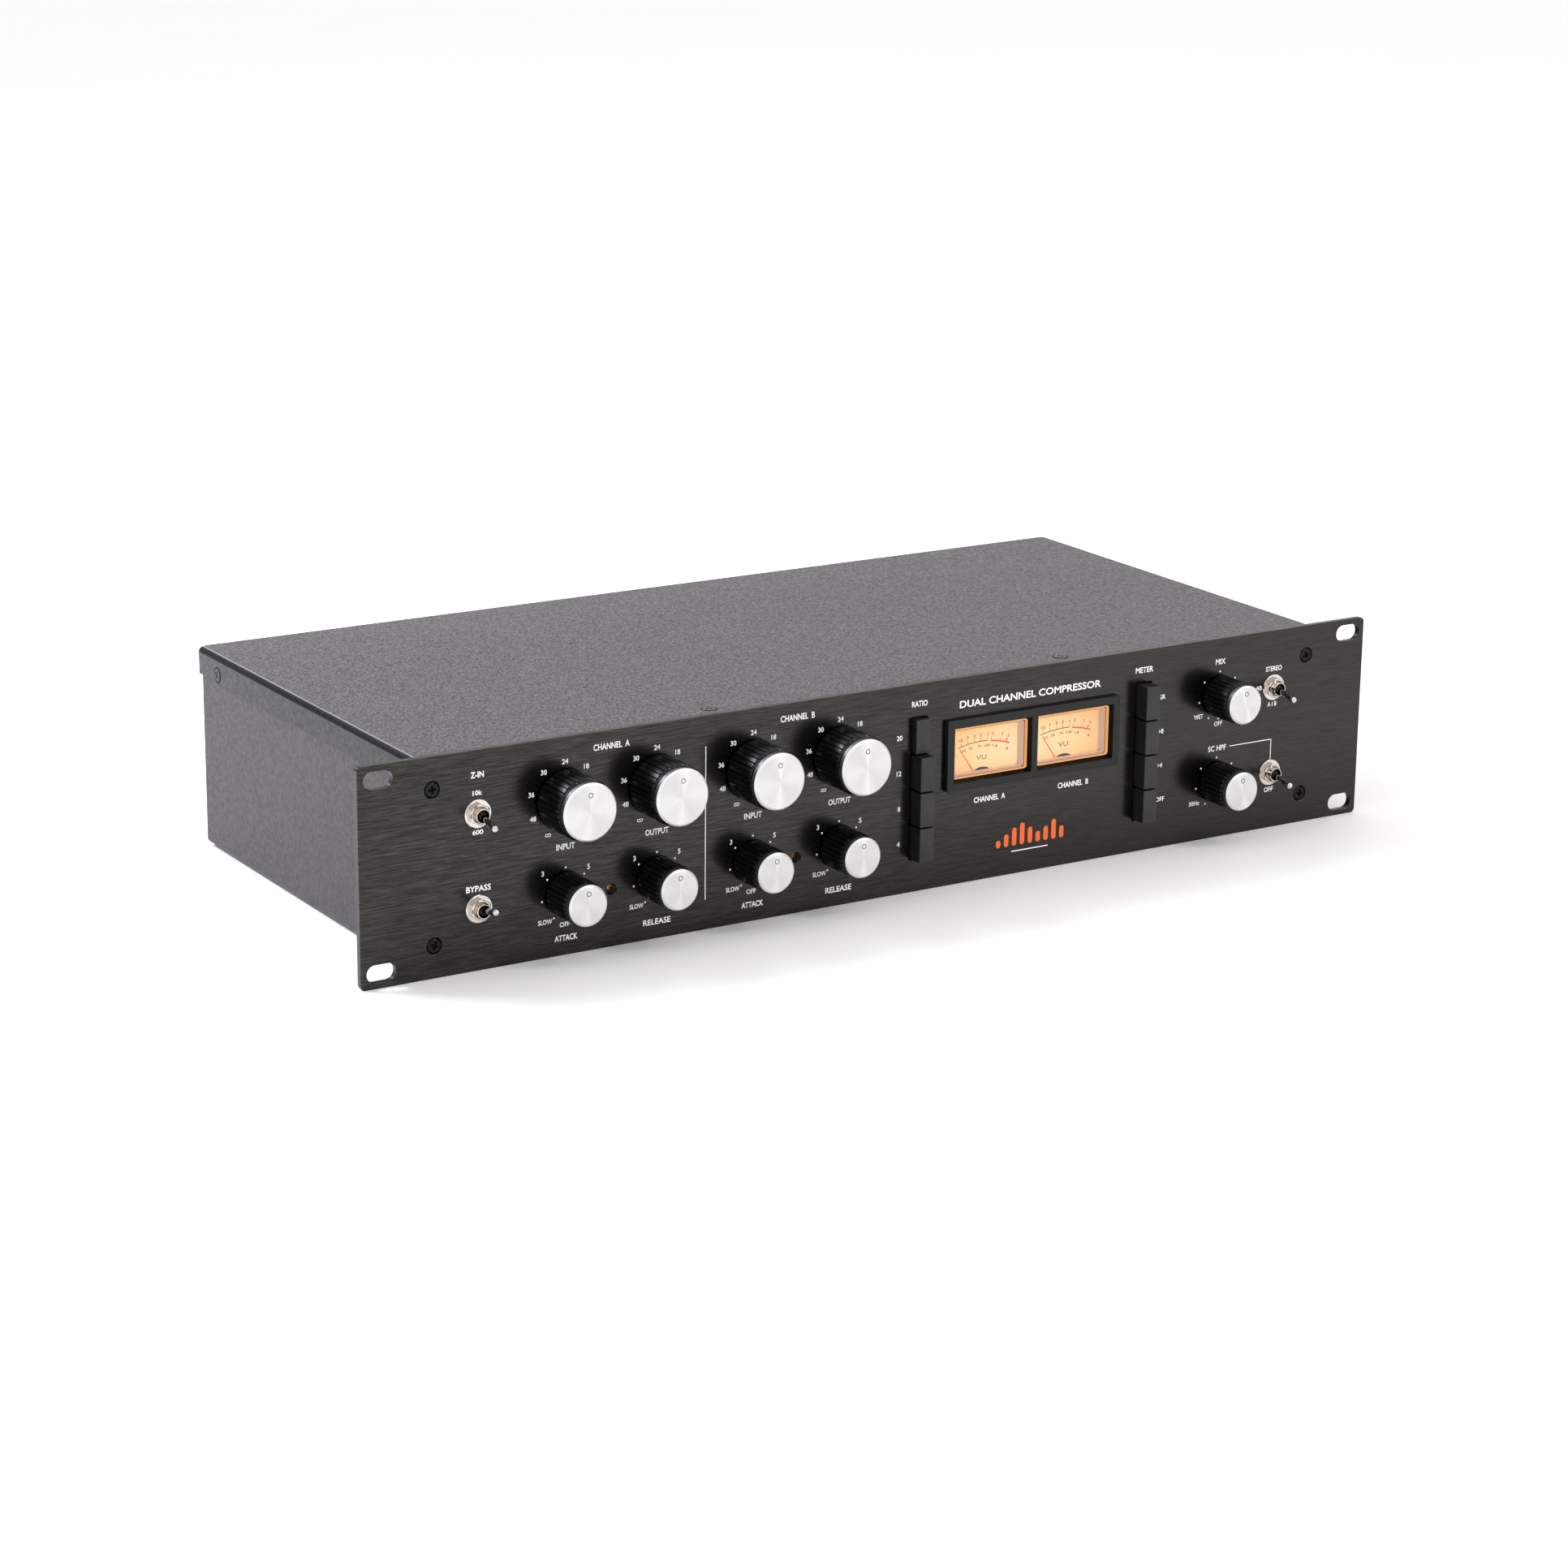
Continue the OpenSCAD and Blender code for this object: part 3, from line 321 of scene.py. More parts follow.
WHITE_INK = printed("white_ink", (0.95, 0.95, 0.94))
ORANGE_INK = printed("orange_ink", (0.85, 0.13, 0.02))
MARK_GREY = printed("marker_paint", (0.02, 0.019, 0.018))
# Painted shade: a darker copy of the turned aluminium for the caps' sides.
CAP_SIDE_SHADE = metal("turned_side", (0.28, 0.28, 0.29), 0.35, 1200.0)
DIAL = dial_card()
# The dial inks, the needle and the meter foot glow a little: painted light standing in for the meter lamp
# inside the case.
DIAL_BLACK = printed("dial_black", (0.1, 0.06, 0.03), 0.7, 0.2)
DIAL_BROWN = printed("dial_brown", (0.15, 0.085, 0.045), 0.7, 0.25)
DIAL_RED = printed("dial_red", (0.75, 0.05, 0.03), 0.7, 0.5)
NEEDLE_RED = printed("needle_red", (0.78, 0.06, 0.04), 0.4, 0.3)
LENS = lens_glass()
# Painted light in the lenses: an amber glow on the rim and a dim pinkish-grey glow on the walls, standing in
# for lamp light and reflections inside the meter.
LENS_RIM_GLOW = printed("lens_rim_glow", (0.9, 0.45, 0.13), 0.3, 0.5)
LENS_WALL_GLOW = printed("lens_wall_haze", (0.46, 0.35, 0.31), 0.25, 0.42)
FOOT = printed("meter_foot", (0.07, 0.045, 0.06), 0.5, 0.3)
BOARD = circuit_board()
TAPE = wound("winding_tape", (0.55, 0.33, 0.09), (90, 90, 25))
LAMINATION = wound("laminated_steel", (0.2, 0.2, 0.21), (20, 1800, 20))


# ---------------------------------------------------------------- mesh building

SMOOTH_ANGLE = radians(32)


class Shape:
    """A mesh made from loops of points in millimetres."""

    def __init__(self):
        self.mesh = bmesh.new()

    def loop(self, points):
        return [self.mesh.verts.new(p) for p in points]

    def bridge(self, first, second, slot=0, closed=True):
        count = len(first)
        for i in range(count if closed else count - 1):
            j = (i + 1) % count
            face = self.mesh.faces.new((first[i], first[j], second[j], second[i]))
            face.material_index = slot

    def chain(self, rows, slot=0, closed=True):
        loops = [self.loop(row) for row in rows]
        for first, second in zip(loops, loops[1:]):
            self.bridge(first, second, slot, closed)
        return loops

    def cap(self, loop, slot=0):
        self.mesh.faces.new(loop).material_index = slot

    def fill(self, loops, slot=0):
        """A flat face inside the first loop and outside the others."""
        edges = []
        for loop in loops:
            for i, vertex in enumerate(loop):
                other = loop[(i + 1) % len(loop)]
                edge = self.mesh.edges.get((vertex, other)) or self.mesh.edges.new((vertex, other))
                edges.append(edge)
        made = bmesh.ops.triangle_fill(self.mesh, edges=edges, use_beauty=True)
        for item in made["geom"]:
            if isinstance(item, bmesh.types.BMFace):
                item.material_index = slot

    def solid(self, rows):
        """A closed solid through the rows of points, capped at both ends."""
        loops = self.chain(rows)
        self.cap(loops[0])
        self.cap(loops[-1])
        return loops

    def done(self, name, materials, at=(0, 0, 0), turn=None, angle=SMOOTH_ANGLE):
        bmesh.ops.recalc_face_normals(self.mesh, faces=self.mesh.faces)
        data = bpy.data.meshes.new(name)
        matrix = Matrix.Translation(Vector(at) * MM) @ (turn or Matrix.Identity(4)) @ Matrix.Scale(MM, 4)
        self.mesh.transform(matrix)
        self.mesh.to_mesh(data)
        self.mesh.free()
        for polygon in data.polygons:
            polygon.use_smooth = True
        data.set_sharp_from_angle(angle=angle)
        for material in materials:
            data.materials.append(material)
        piece = bpy.data.objects.new(name, data)
        bpy.context.scene.collection.objects.link(piece)
        return piece


def stand_for(piece, body, nodes):
    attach(piece, body)
    if nodes:
        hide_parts(*nodes)
    return piece


def ring(radius, y, steps=96, centre=(0, 0), shape=None):
    """A circle about the Y axis; shape(angle, radius) may give another radius at each angle."""
    points = []
    for i in range(steps):
        a = 2 * pi * i / steps
        r = shape(a, radius) if shape else radius
        points.append((centre[0] + r * sin(a), y, centre[1] + r * cos(a)))
    return points


def spin(axis, degrees):
    return Matrix.Rotation(radians(degrees), 4, axis)


def lathe(shape, profile, steps=96, centre=(0, 0), capped=True):
    """Turns a profile of (radius, y) pairs about the Y axis."""
    rows = [ring(max(r, 0.0), y, steps, centre) for r, y in profile]
    return shape.solid(rows) if capped else shape.chain(rows)


def tube(shape, profile, steps, centre):
    """Turns a profile that closes on itself about the Y axis."""
    loops = lathe(shape, profile, steps, centre, capped=False)
    shape.bridge(loops[-1], loops[0])


def arc(centre, radius, start, end, steps):
    """Points (u, v) along an arc, in degrees anticlockwise from u."""
    return [(centre[0] + radius * cos(radians(start + (end - start) * i / steps)),
             centre[1] + radius * sin(radians(start + (end - start) * i / steps)))
            for i in range(steps + 1)]


def round_rect(width, height, radius, centre=(0, 0), steps=6):
    """The outline of a rectangle with round corners, as (x, z) points."""
    u, v = width / 2 - radius, height / 2 - radius
    points = []
    for cx, cz, start in ((u, v, 0), (-u, v, 90), (-u, -v, 180), (u, -v, 270)):
        points += arc((centre[0] + cx, centre[1] + cz), radius, start, start + 90, steps)
    return points


def circle(radius, centre=(0, 0), steps=48):
    return arc(centre, radius, 0, 360 * (steps - 1) / steps, steps - 1)


def at_y(outline, y):
    return [(x, y, z) for x, z in outline]


def rounded_block(shape, width, height, y_front, y_back, bevel, radius, centre):
    """A block whose front edges are rounded; the back edges stay square."""
    rows = []
    steps = 3
    for i in range(steps + 1):
        a = radians(90 * i / steps)
        inset = bevel * (1 - sin(a))
        outline = round_rect(width - 2 * inset, height - 2 * inset, max(radius - inset, 0.05), centre)
        rows.append(at_y(outline, y_front + bevel * (1 - cos(a))))
    rows.append(at_y(round_rect(width, height, radius, centre), y_back))
    shape.solid(rows)


def plate(shape, outer, holes, y_front, y_back, bevel=0.2, slot=0, hole_slot=None):
    """A flat plate facing -Y with holes, its front and back edges broken."""
    def walls(outline, grow, wall_slot):
        rows = [at_y(offset_outline(outline, -bevel * grow), y_front),
                at_y(outline, y_front + bevel),
                at_y(outline, y_back - bevel),
                at_y(offset_outline(outline, -bevel * grow), y_back)]
        return shape.chain(rows, wall_slot)
    inside = slot if hole_slot is None else hole_slot
    loops = [walls(outer, 1, slot)] + [walls(hole, -1, inside) for hole in holes]
    shape.fill([rows[0] for rows in loops], slot)
    shape.fill([rows[-1] for rows in loops], slot)


def offset_outline(outline, amount):
    """Moves a closed anticlockwise outline outwards by amount."""
    moved = []
    count = len(outline)
    for i, (x, z) in enumerate(outline):
        px, pz = outline[i - 1]
        nx, nz = outline[(i + 1) % count]
        tx, tz = nx - px, nz - pz
        length = hypot(tx, tz) or 1.0
        moved.append((x + amount * tz / length, z - amount * tx / length))
    return moved


# ---------------------------------------------------------------- camera, floor and light

PANEL_LOW, PANEL_HIGH = box("front_panel")
PANEL_FRONT = PANEL_LOW.y
FLOOR_Z = PANEL_LOW.z
LENS_MM = 90.86
CAMERA_AT = Vector((-852.2, -1289.6, 450.9))
VIEW_AHEAD = Vector((0.50624, 0.81602, -0.27898)).normalized()
VIEW_RIGHT = Vector((0.85131, -0.52456, 0.01044))


def make_camera():
    data = bpy.data.cameras.new("camera")
    data.lens = LENS_MM
    data.clip_end = 100.0
    camera = bpy.data.objects.new("camera", data)
    bpy.context.scene.collection.objects.link(camera)
    up = VIEW_RIGHT.cross(VIEW_AHEAD).normalized()
    right = VIEW_AHEAD.cross(up)
    rotation = Matrix((right, up, -VIEW_AHEAD)).transposed()
    camera.matrix_world = Matrix.Translation(CAMERA_AT * MM) @ rotation.to_4x4()
    bpy.context.scene.camera = camera


def make_floor():
    shader = Shader("pale_floor", (0.93, 0.93, 0.93), 0.55)
    shader.tint(shader.noise(3.0), 0.995, 1.005)
    size = 30000.0
    shape = Shape()
    shape.cap(shape.loop([(-size, -size, FLOOR_Z), (size, -size, FLOOR_Z),
                          (size, size, FLOOR_Z), (-size, size, FLOOR_Z)]))
    floor = shape.done("floor", [shader.material])


def area_light(name, at, aim, size, power, color=(1, 1, 1)):
    data = bpy.data.lights.new(name, "AREA")
    data.shape = "RECTANGLE"
    data.size, data.size_y = size
    data.energy = power
    data.color = color
    light = bpy.data.objects.new(name, data)
    bpy.context.scene.collection.objects.link(light)
    light.location = at
    light.rotation_euler = (Vector(aim) - Vector(at)).to_track_quat("-Z", "Y").to_euler()


def light_studio():
    scene = bpy.context.scene
    world = bpy.data.worlds.new("studio")
    scene.world = world
    world.use_nodes = True
    background = world.node_tree.nodes["Background"]
    background.inputs["Color"].default_value = (1.0, 0.99, 0.985, 1.0)
    background.inputs["Strength"].default_value = 1.05
    scene.view_settings.view_transform = "Standard"
    area_light("back_softbox", (-0.85, 0.75, 0.95), (-0.15, 0.1, 0.0), (0.6, 0.4), 19.0, (0.9, 0.93, 1.0))
    area_light("top_softbox", (0.2, -0.7, 1.9), (0.0, -0.2, 0.0), (1.2, 0.8), 2.0)
    area_light("key_softbox", (0.9, -0.9, 1.5), (0.0, 0.0, 0.0), (0.25, 0.25), 5.0, (1.0, 0.97, 0.94))
    area_light("fan_light", (0.9, -1.5, 0.38), (0.0, 0.0, 0.0), (0.12, 0.12), 1.3)
    area_light("rear_strip", (-0.85, 1.8, 1.1), (-0.2, 0.1, 0.0), (0.5, 0.2), 6.0, (0.9, 0.93, 1.0))
    area_light("left_softbox", (-1.9, -0.3, 1.0), (-0.1, 0.0, 0.0), (0.6, 1.0), 1.5, (0.9, 0.93, 1.0))


# ---------------------------------------------------------------- front panel

PANEL_W = PANEL_HIGH.x - PANEL_LOW.x
PANEL_H = PANEL_HIGH.z - PANEL_LOW.z
RACK_X, RACK_Z = 232.55, 38.1
SLOT_L, SLOT_W = 12.4, 7.2
SCREW_HEAD = 6.2
KNOBS = sorted(name for name in frame["bodies"] if name.startswith("knob_"))
LEVERS = sorted(name for name in frame["bodies"] if name.startswith("lever_"))
BUTTONS = sorted(name for name in frame["bodies"] if name.startswith("button_"))
NEEDLES = ("needle_a", "needle_b")
TRIMS = ("trim_screw_a", "trim_screw_b")
BEZEL_LOW, BEZEL_HIGH = box("meter_bezel")
BEZEL_MID = middle("meter_bezel")
PANEL_SCREW_X, PANEL_SCREW_Z = 210, 31
PANEL_SCREWS = [(sx * PANEL_SCREW_X, sz * PANEL_SCREW_Z) for sx in (-1, 1) for sz in (-1, 1)]
WINDOW_W, WINDOW_H, METER_PITCH = 38.2, 23.2, 41.4
NECK_WALL = 1.2
NECK_W = METER_PITCH + WINDOW_W + 2 * NECK_WALL
NECK_H = WINDOW_H + 2 * NECK_WALL
BEZEL_SPOT = (BEZEL_MID.x, BEZEL_MID.z)
TRIM_HOLE_R = 2.2
SHAFT_HOLE_R, BUSH_HOLE_R = 3.6, 3.3


def joint_spot(body):
    position = JOINTS[body]["pos_m"]
    return position[0] / MM, position[2] / MM


def make_panel():
    holes = [round_rect(SLOT_L, SLOT_W, SLOT_W / 2 - 0.01, (sx * RACK_X, sz * RACK_Z), 12)
             for sx in (-1, 1) for sz in (-1, 1)]
    holes += [circle(SCREW_HEAD / 2 + 0.2, spot) for spot in PANEL_SCREWS]
    holes += [circle(SHAFT_HOLE_R, joint_spot(body)) for body in KNOBS]
    holes += [circle(BUSH_HOLE_R, joint_spot(body)) for body in LEVERS]
    for bank in ("ratio", "meter"):
        low, high = box(f"button_{bank}_4")[0], box(f"button_{bank}_1")[1]
        holes.append(round_rect(high.x - low.x + 1, high.z - low.z + 1, 0.5,
                                ((low.x + high.x) / 2, (low.z + high.z) / 2), 3))
    for name in TRIMS:
        x, z = joint_spot(name)
        holes.append(circle(TRIM_HOLE_R, (x - 0.8, z)))
    holes.append(round_rect(NECK_W + 0.2, NECK_H + 0.2, 0.4, BEZEL_SPOT, 3))
    shape = Shape()
    plate(shape, round_rect(PANEL_W, PANEL_H, 2.0, (0, 0), 8), holes, PANEL_FRONT, 0.0, 0.22)
    shape.mesh.normal_update()
    # Hole walls and edges take the painted shade, all but the left end face, which catches the light.
    for face in shape.mesh.faces:
        if abs(face.normal.y) < 0.5 and face.calc_center_median().x > PANEL_LOW.x + 0.1:
            face.material_index = 1
    stand_for(shape.done("front_panel_plate", [PANEL, CUT_EDGE_SHADE]), CASE, ["front_panel"])


# ---------------------------------------------------------------- printed legends

INK_T = 0.03
LETTERS = []


def letter(text, x, z, height, width=None, material=WHITE_INK, bold=0.02, y=PANEL_FRONT, holder=None,
           stretch=0.98):
    """Printed text centred on x and z, as tall and as wide as asked."""
    curve = bpy.data.curves.new("letters", "FONT")
    curve.body = text
    curve.align_x = "LEFT"
    curve.offset = bold
    curve.resolution_u = 3
    source = bpy.data.objects.new("letters", curve)
    bpy.context.scene.collection.objects.link(source)
    bpy.context.view_layer.update()
    data = bpy.data.meshes.new_from_object(source.evaluated_get(bpy.context.evaluated_depsgraph_get()))
    bpy.data.objects.remove(source)
    xs = [v.co.x for v in data.vertices]
    ys = [v.co.y for v in data.vertices]
    natural_w, natural_h = max(xs) - min(xs), max(ys) - min(ys)
    scale_z = height / natural_h
    scale_x = width / natural_w if width else scale_z * stretch
    mid_x, mid_y = (max(xs) + min(xs)) / 2, (max(ys) + min(ys)) / 2
    for v in data.vertices:
        v.co = Vector((x + (v.co.x - mid_x) * scale_x, y - INK_T, z + (v.co.y - mid_y) * scale_z)) * MM
    data.flip_normals()
    data.materials.clear()
    data.materials.append(material)
    piece = bpy.data.objects.new("letters", data)
    bpy.context.scene.collection.objects.link(piece)
    (LETTERS if holder is None else holder).append(piece)


def ink_patch(outline, material=WHITE_INK, y=PANEL_FRONT, holder=None):
    """A flat printed shape with the given outline of (x, z) points."""
    shape = Shape()
    shape.cap(shape.loop(at_y(outline, y - INK_T)))
    piece = shape.done("ink", [material])
    (LETTERS if holder is None else holder).append(piece)


def bar(x0, z0, x1, z1, width, **where):
    """A straight printed line."""
    length = hypot(x1 - x0, z1 - z0)
    ux, uz = (x1 - x0) / length, (z1 - z0) / length
    hx, hz = -uz * width / 2, ux * width / 2
    ink_patch([(x0 + hx, z0 + hz), (x0 - hx, z0 - hz), (x1 - hx, z1 - hz), (x1 + hx, z1 + hz)], **where)


def join(pieces, name):
    """Joins ink patches into one piece with one thickness of ink."""
    with bpy.context.temp_override(active_object=pieces[0], selected_editable_objects=pieces,
                                   selected_objects=pieces):
        bpy.ops.object.join()
    pieces[0].name = name
    return pieces[0]


def around(centre, radius, angle):
    """A point round a knob, with angle in degrees clockwise from the top."""
    return centre[0] + radius * sin(radians(angle)), centre[1] + radius * cos(radians(angle))


SCALE_STEP = 37.5
DB_SCALE = ("inf", "48", "36", "30", "24", "18", "12", "6", "0")
DOT_ANGLES = (-150, -100, -50, 0, 50, 100, 150)
CAPTION_H, NUMERAL_H = 2.45, 2.1


def infinity(x, z):
    """The infinity sign, as two rings that touch."""
    for side in (-1, 1):
        centre = (x + side * 0.6, z)
        shape = Shape()
        shape.fill([shape.loop(at_y(circle(r, centre, 20), PANEL_FRONT - INK_T)) for r in (0.72, 0.4)])
        LETTERS.append(shape.done("ink", [WHITE_INK]))


def print_knob_scales():
    for body in KNOBS:
        x, z = joint_spot(body)
        name = body.replace("knob_", "")
        large = z > 0 and name != "mix"
        if large:
            for i, mark in enumerate(DB_SCALE):
                spot = around((x, z), 15.3, (i - 4) * SCALE_STEP)
                if mark == "inf":
                    infinity(*spot)
                else:
                    letter(mark, *spot, NUMERAL_H)
            word = name[:-2].upper()
            letter(word, x, 0.15, CAPTION_H, 8.2 if word == "INPUT" else 10.6)
            continue
        for angle in DOT_ANGLES:
            ink_patch(circle(0.42, around((x, z), 10.65, angle), 16))
        if name.startswith(("attack", "release")):
            word = name[:-2].upper()
            letter("3", x - 10.1, z + 9.5, NUMERAL_H)
            letter("5", x + 10.1, z + 9.5, NUMERAL_H)
            letter("SLOW", x - 9.2, z - 10.25, 2.0, 6.3)
            letter("FAST", x + 9.2, z - 10.25, 2.0, 6.0)
            letter(word, x, -36.9, CAPTION_H, 10.1 if word == "ATTACK" else 12.4)
            if word == "ATTACK":
                letter("OFF", x - 0.6, -31.4, 2.0, 4.4)
        elif name == "mix":
            letter("MIX", x, 34.0, CAPTION_H, 5.2)
            ink_patch(circle(0.42, around((x, z), 10.06, 180), 16))
            letter("OFF", x, 6.76, 2.0, 4.4)
            letter("WET", x - 10.7, 11.0, 2.0, 4.9)
            letter("DRY", x + 10.7, 11.0, 2.0, 4.6)
        else:
            letter("SC HPF", x, -4.2, CAPTION_H, 9.6)
            letter("30Hz", x - 11.2, -27.3, 2.0, 5.6)
            letter("300Hz", x + 11.6, -27.3, 2.0, 6.6)


def print_headings():
    letter("CHANNEL  A", -132.6, 37.9, 2.6, 16.0)
    letter("CHANNEL  B", -47.9, 37.9, 2.6, 16.0)
    bar(-90.3, -31.6, -90.3, 31.6, 0.36)
    letter("Z-IN", -191, 34.4, CAPTION_H, 5.6)
    letter("10k", -191, 27.2, 1.95, 4.1)
    letter("600", -191, 11.6, 1.95, 4.6)
    letter("BYPASS", -191, -10.9, CAPTION_H, 10.6)
    letter("STEREO", 192.5, 27.3, 2.2, 8.6)
    letter("AB", 184.8, 19.5, 1.95, 3.2)
    letter("A I B", 192.3, 11.6, 1.95, 4.9)
    letter("OFF", 192.5, -26.7, 2.2, 4.9)
    bar(170.1, -4.2, 192.7, -4.2, 0.35)
    bar(192.7, -4.2, 192.7, -13.3, 0.35)
    letter("RATIO", 10.3, 35.7, CAPTION_H, 7.6)
    letter("METER", 123.3, 35.5, CAPTION_H, 9.1)
    for i, mark in enumerate(("20", "12", "8", "4")):
        letter(mark, 0.8 + (0.3 if i > 1 else 0), 22.4 - 15 * i, 2.1)
    for i, mark in enumerate(("GR", "+8", "+4", "OFF")):
        letter(mark, 133.0 + (0.8 if i == 3 else 0), 22.4 - 15 * i, 2.1)
    letter("DUAL CHANNEL COMPRESSOR", 65.4, 32.6, 3.1, 71.0)
    letter("CHANNEL  A", 45.8, -9.2, CAPTION_H, 15.6)
    letter("CHANNEL  B", 88.1, -9.1, CAPTION_H, 15.6)


MARK_HEIGHTS = (3.2, 5.4, 7.8, 9.4, 7.0, 4.6, 6.2, 8.6, 5.2)


def print_mark():
    """A plain row of orange bars, like a level display, over a thin white line."""
    pitch, width, base = 4.0, 2.3, -31.8
    first = 66.8 - pitch * (len(MARK_HEIGHTS) - 1) / 2
    for i, height in enumerate(MARK_HEIGHTS):
        ink_patch(round_rect(width, height, 1.1, (first + i * pitch, base + height / 2)), material=ORANGE_INK)
    bar(57.6, -34.2, 76.0, -34.2, 0.45)


def print_legends():
    print_knob_scales()
    print_headings()
    print_mark()
    legends = join(LETTERS, "legends")
    stand_for(legends, CASE, [])


# ---------------------------------------------------------------- knobs

FLUTES = {True: 36, False: 28}
GROOVE = ((0.0, 1.0), (0.05, 0.8), (0.13, 0.0), (0.5, -0.08), (0.87, 0.0), (0.95, 0.8))
GROOVE_DEPTH = 0.5
KNOB_GAP = 0.6


def fluted_ring(radius, y, count, depth):
    """A skirt's outline: flat lands with a narrow groove between them."""
    points = []
    for i in range(count):
        for phase, share in GROOVE:
            a = 2 * pi * (i + phase) / count
            r = radius - depth * share
            points.append((r * sin(a), y, r * cos(a)))
    return points


def knob_skirt(body, large):
    """The skirt's own Y runs from its foot, at zero, towards the viewer."""
    low, high = box(body)
    cap_low, cap_high = box(body.replace("knob_", "cap_"))
    foot = PANEL_FRONT - KNOB_GAP
    front = cap_high.y - foot
    radius = (high.x - low.x) / 2
    seat = (cap_high.x - cap_low.x) / 2
    count = FLUTES[large]
    rows = [(radius - 4.9, -5.0, 0), (radius - 4.9, -0.2, 0), (radius - 0.3, 0.0, 0.4), (radius, -0.3, 1),
            (radius - 0.05, front + 2.3, 1), (radius - 0.4, front + 1.4, 0.5),
            (radius - 0.65, front + 1.0, 0), (radius - 0.75, front + 0.8, 0),
            (seat + 0.12, front + 0.7, 0), (seat + 0.12, front + 0.15, 0), (seat, front, 0)]
    shape = Shape()
    shape.solid([fluted_ring(r, y, count, GROOVE_DEPTH * share) for r, y, share in rows])
    x, z = joint_spot(body)
    piece = shape.done(body + "_skirt", [SKIRT], (x, foot, z), angle=radians(24))
    stand_for(piece, body, [body])


MARKER_R, MARKER_T, MARKER_DEPTH = 1.05, 0.3, 0.1
MARKER_SHARE = 0.585
CAP_BEVEL = 0.75


def knob_cap(body):
    node = body.replace("knob_", "cap_")
    low, high = box(node)
    radius = (high.x - low.x) / 2
    height = high.y - low.y
    x, z = joint_spot(body)
    marker = (0.0, MARKER_SHARE * radius)
    shape = Shape()
    # The cap's side takes slot 3, its painted shade.
    rows = shape.chain([ring(radius, 0, 128), ring(radius, CAP_BEVEL - height, 128)], 3)
    shape.cap(rows[0], 1)
    rim = [rows[-1], shape.loop(ring(radius - 0.12, CAP_BEVEL - height - 0.15, 128)),
           shape.loop(ring(radius - CAP_BEVEL, -height, 128))]
    for a, b in zip(rim, rim[1:]):
        shape.bridge(a, b, 1)
    inner_r, floor = MARKER_R - MARKER_T, MARKER_DEPTH - height
    groove = [shape.loop(at_y(circle(r, marker, 40), y))
              for r, y in ((MARKER_R, -height), (MARKER_R, floor), (inner_r, floor), (inner_r, -height))]
    shape.fill([rim[-1], groove[0]])
    for a, b in zip(groove, groove[1:]):
        shape.bridge(a, b, 2)
    shape.cap(groove[-1])
    materials = [ALUMINIUM, EDGE, MARK_GREY, CAP_SIDE_SHADE]
    piece = shape.done(node + "_disc", materials, (x, high.y, z), angle=radians(20))
    stand_for(piece, body, [node])


def make_knobs():
    for body in KNOBS:
        low, high = box(body)
        knob_skirt(body, high.x - low.x > 20)
        knob_cap(body)


# ---------------------------------------------------------------- toggles

BUSH_R, BUSH_OUT, BORE_R = 3.175, 4.9, 2.35
WASHER_R, WASHER_T = 5.7, 0.7
NUT_AF, NUT_H = 8.0, 2.0
THREAD_PITCH, THREAD_DEPTH = 0.635, 0.16
LEVER_L, LEVER_TIP_R = 11.3, 1.45
BALL_R, BALL_OUT = 2.2, 2.6
LEVER_TILT = 12.5


def hexagon(angle, across):
    """Radius of a hexagon of that width across its flats."""
    sector = radians(60)
    return across / 2 / cos((angle % sector) - sector / 2)


def hex_nut(shape, across, bore, y_front, y_back, centre):
    """A hexagon nut whose front corners are turned off."""
    corner = across / 2 / cos(radians(30))
    chamfer = 0.35
    limits = ((across / 2 - 0.15, y_front), (corner - 0.12, y_front + chamfer),
              (corner + 1, y_front + chamfer + 0.3), (corner + 1, y_back))
    rows = [ring(bore, y_back, 96, centre), ring(bore, y_front + 0.2, 96, centre),
            ring(bore + 0.25, y_front, 96, centre)]
    for limit, y in limits:
        rows.append(ring(limit, y, 96, centre, lambda a, r: min(r, hexagon(a, across))))
    loops = shape.chain(rows)
    shape.bridge(loops[-1], loops[0])


def make_toggle_hardware():
    nuts, bushes = Shape(), Shape()
    washer_y = PANEL_FRONT - WASHER_T
    for body in LEVERS:
        spot = joint_spot(body)
        hole = BUSH_R + 0.1
        tube(nuts, [(hole, PANEL_FRONT), (hole, washer_y), (WASHER_R - 0.25, washer_y),
                    (WASHER_R, washer_y + 0.25), (WASHER_R, PANEL_FRONT)], 96, spot)
        hex_nut(nuts, NUT_AF, hole, washer_y - NUT_H, washer_y, spot)
        mouth = PANEL_FRONT - BUSH_OUT
        profile = [(BORE_R, 8.0), (BORE_R, mouth + 0.9), (BORE_R + 0.25, mouth + 0.05), (BUSH_R - 0.3, mouth),
                   (BUSH_R - 0.05, mouth + 0.3)]
        y = mouth + 0.55
        while y < washer_y:
            profile += [(BUSH_R, y), (BUSH_R - THREAD_DEPTH, y + THREAD_PITCH / 2)]
            y += THREAD_PITCH
        profile += [(BUSH_R, washer_y), (BUSH_R, 0.4), (4.6, 0.4), (4.6, 8.0)]
        tube(bushes, profile, 64, spot)
    stand_for(nuts.done("toggle_nuts_and_washers", [NICKEL]), CASE, ["toggle_nuts"])
    stand_for(bushes.done("toggle_bushes", [BUSH], angle=radians(50)), CASE, ["toggle_switches"])


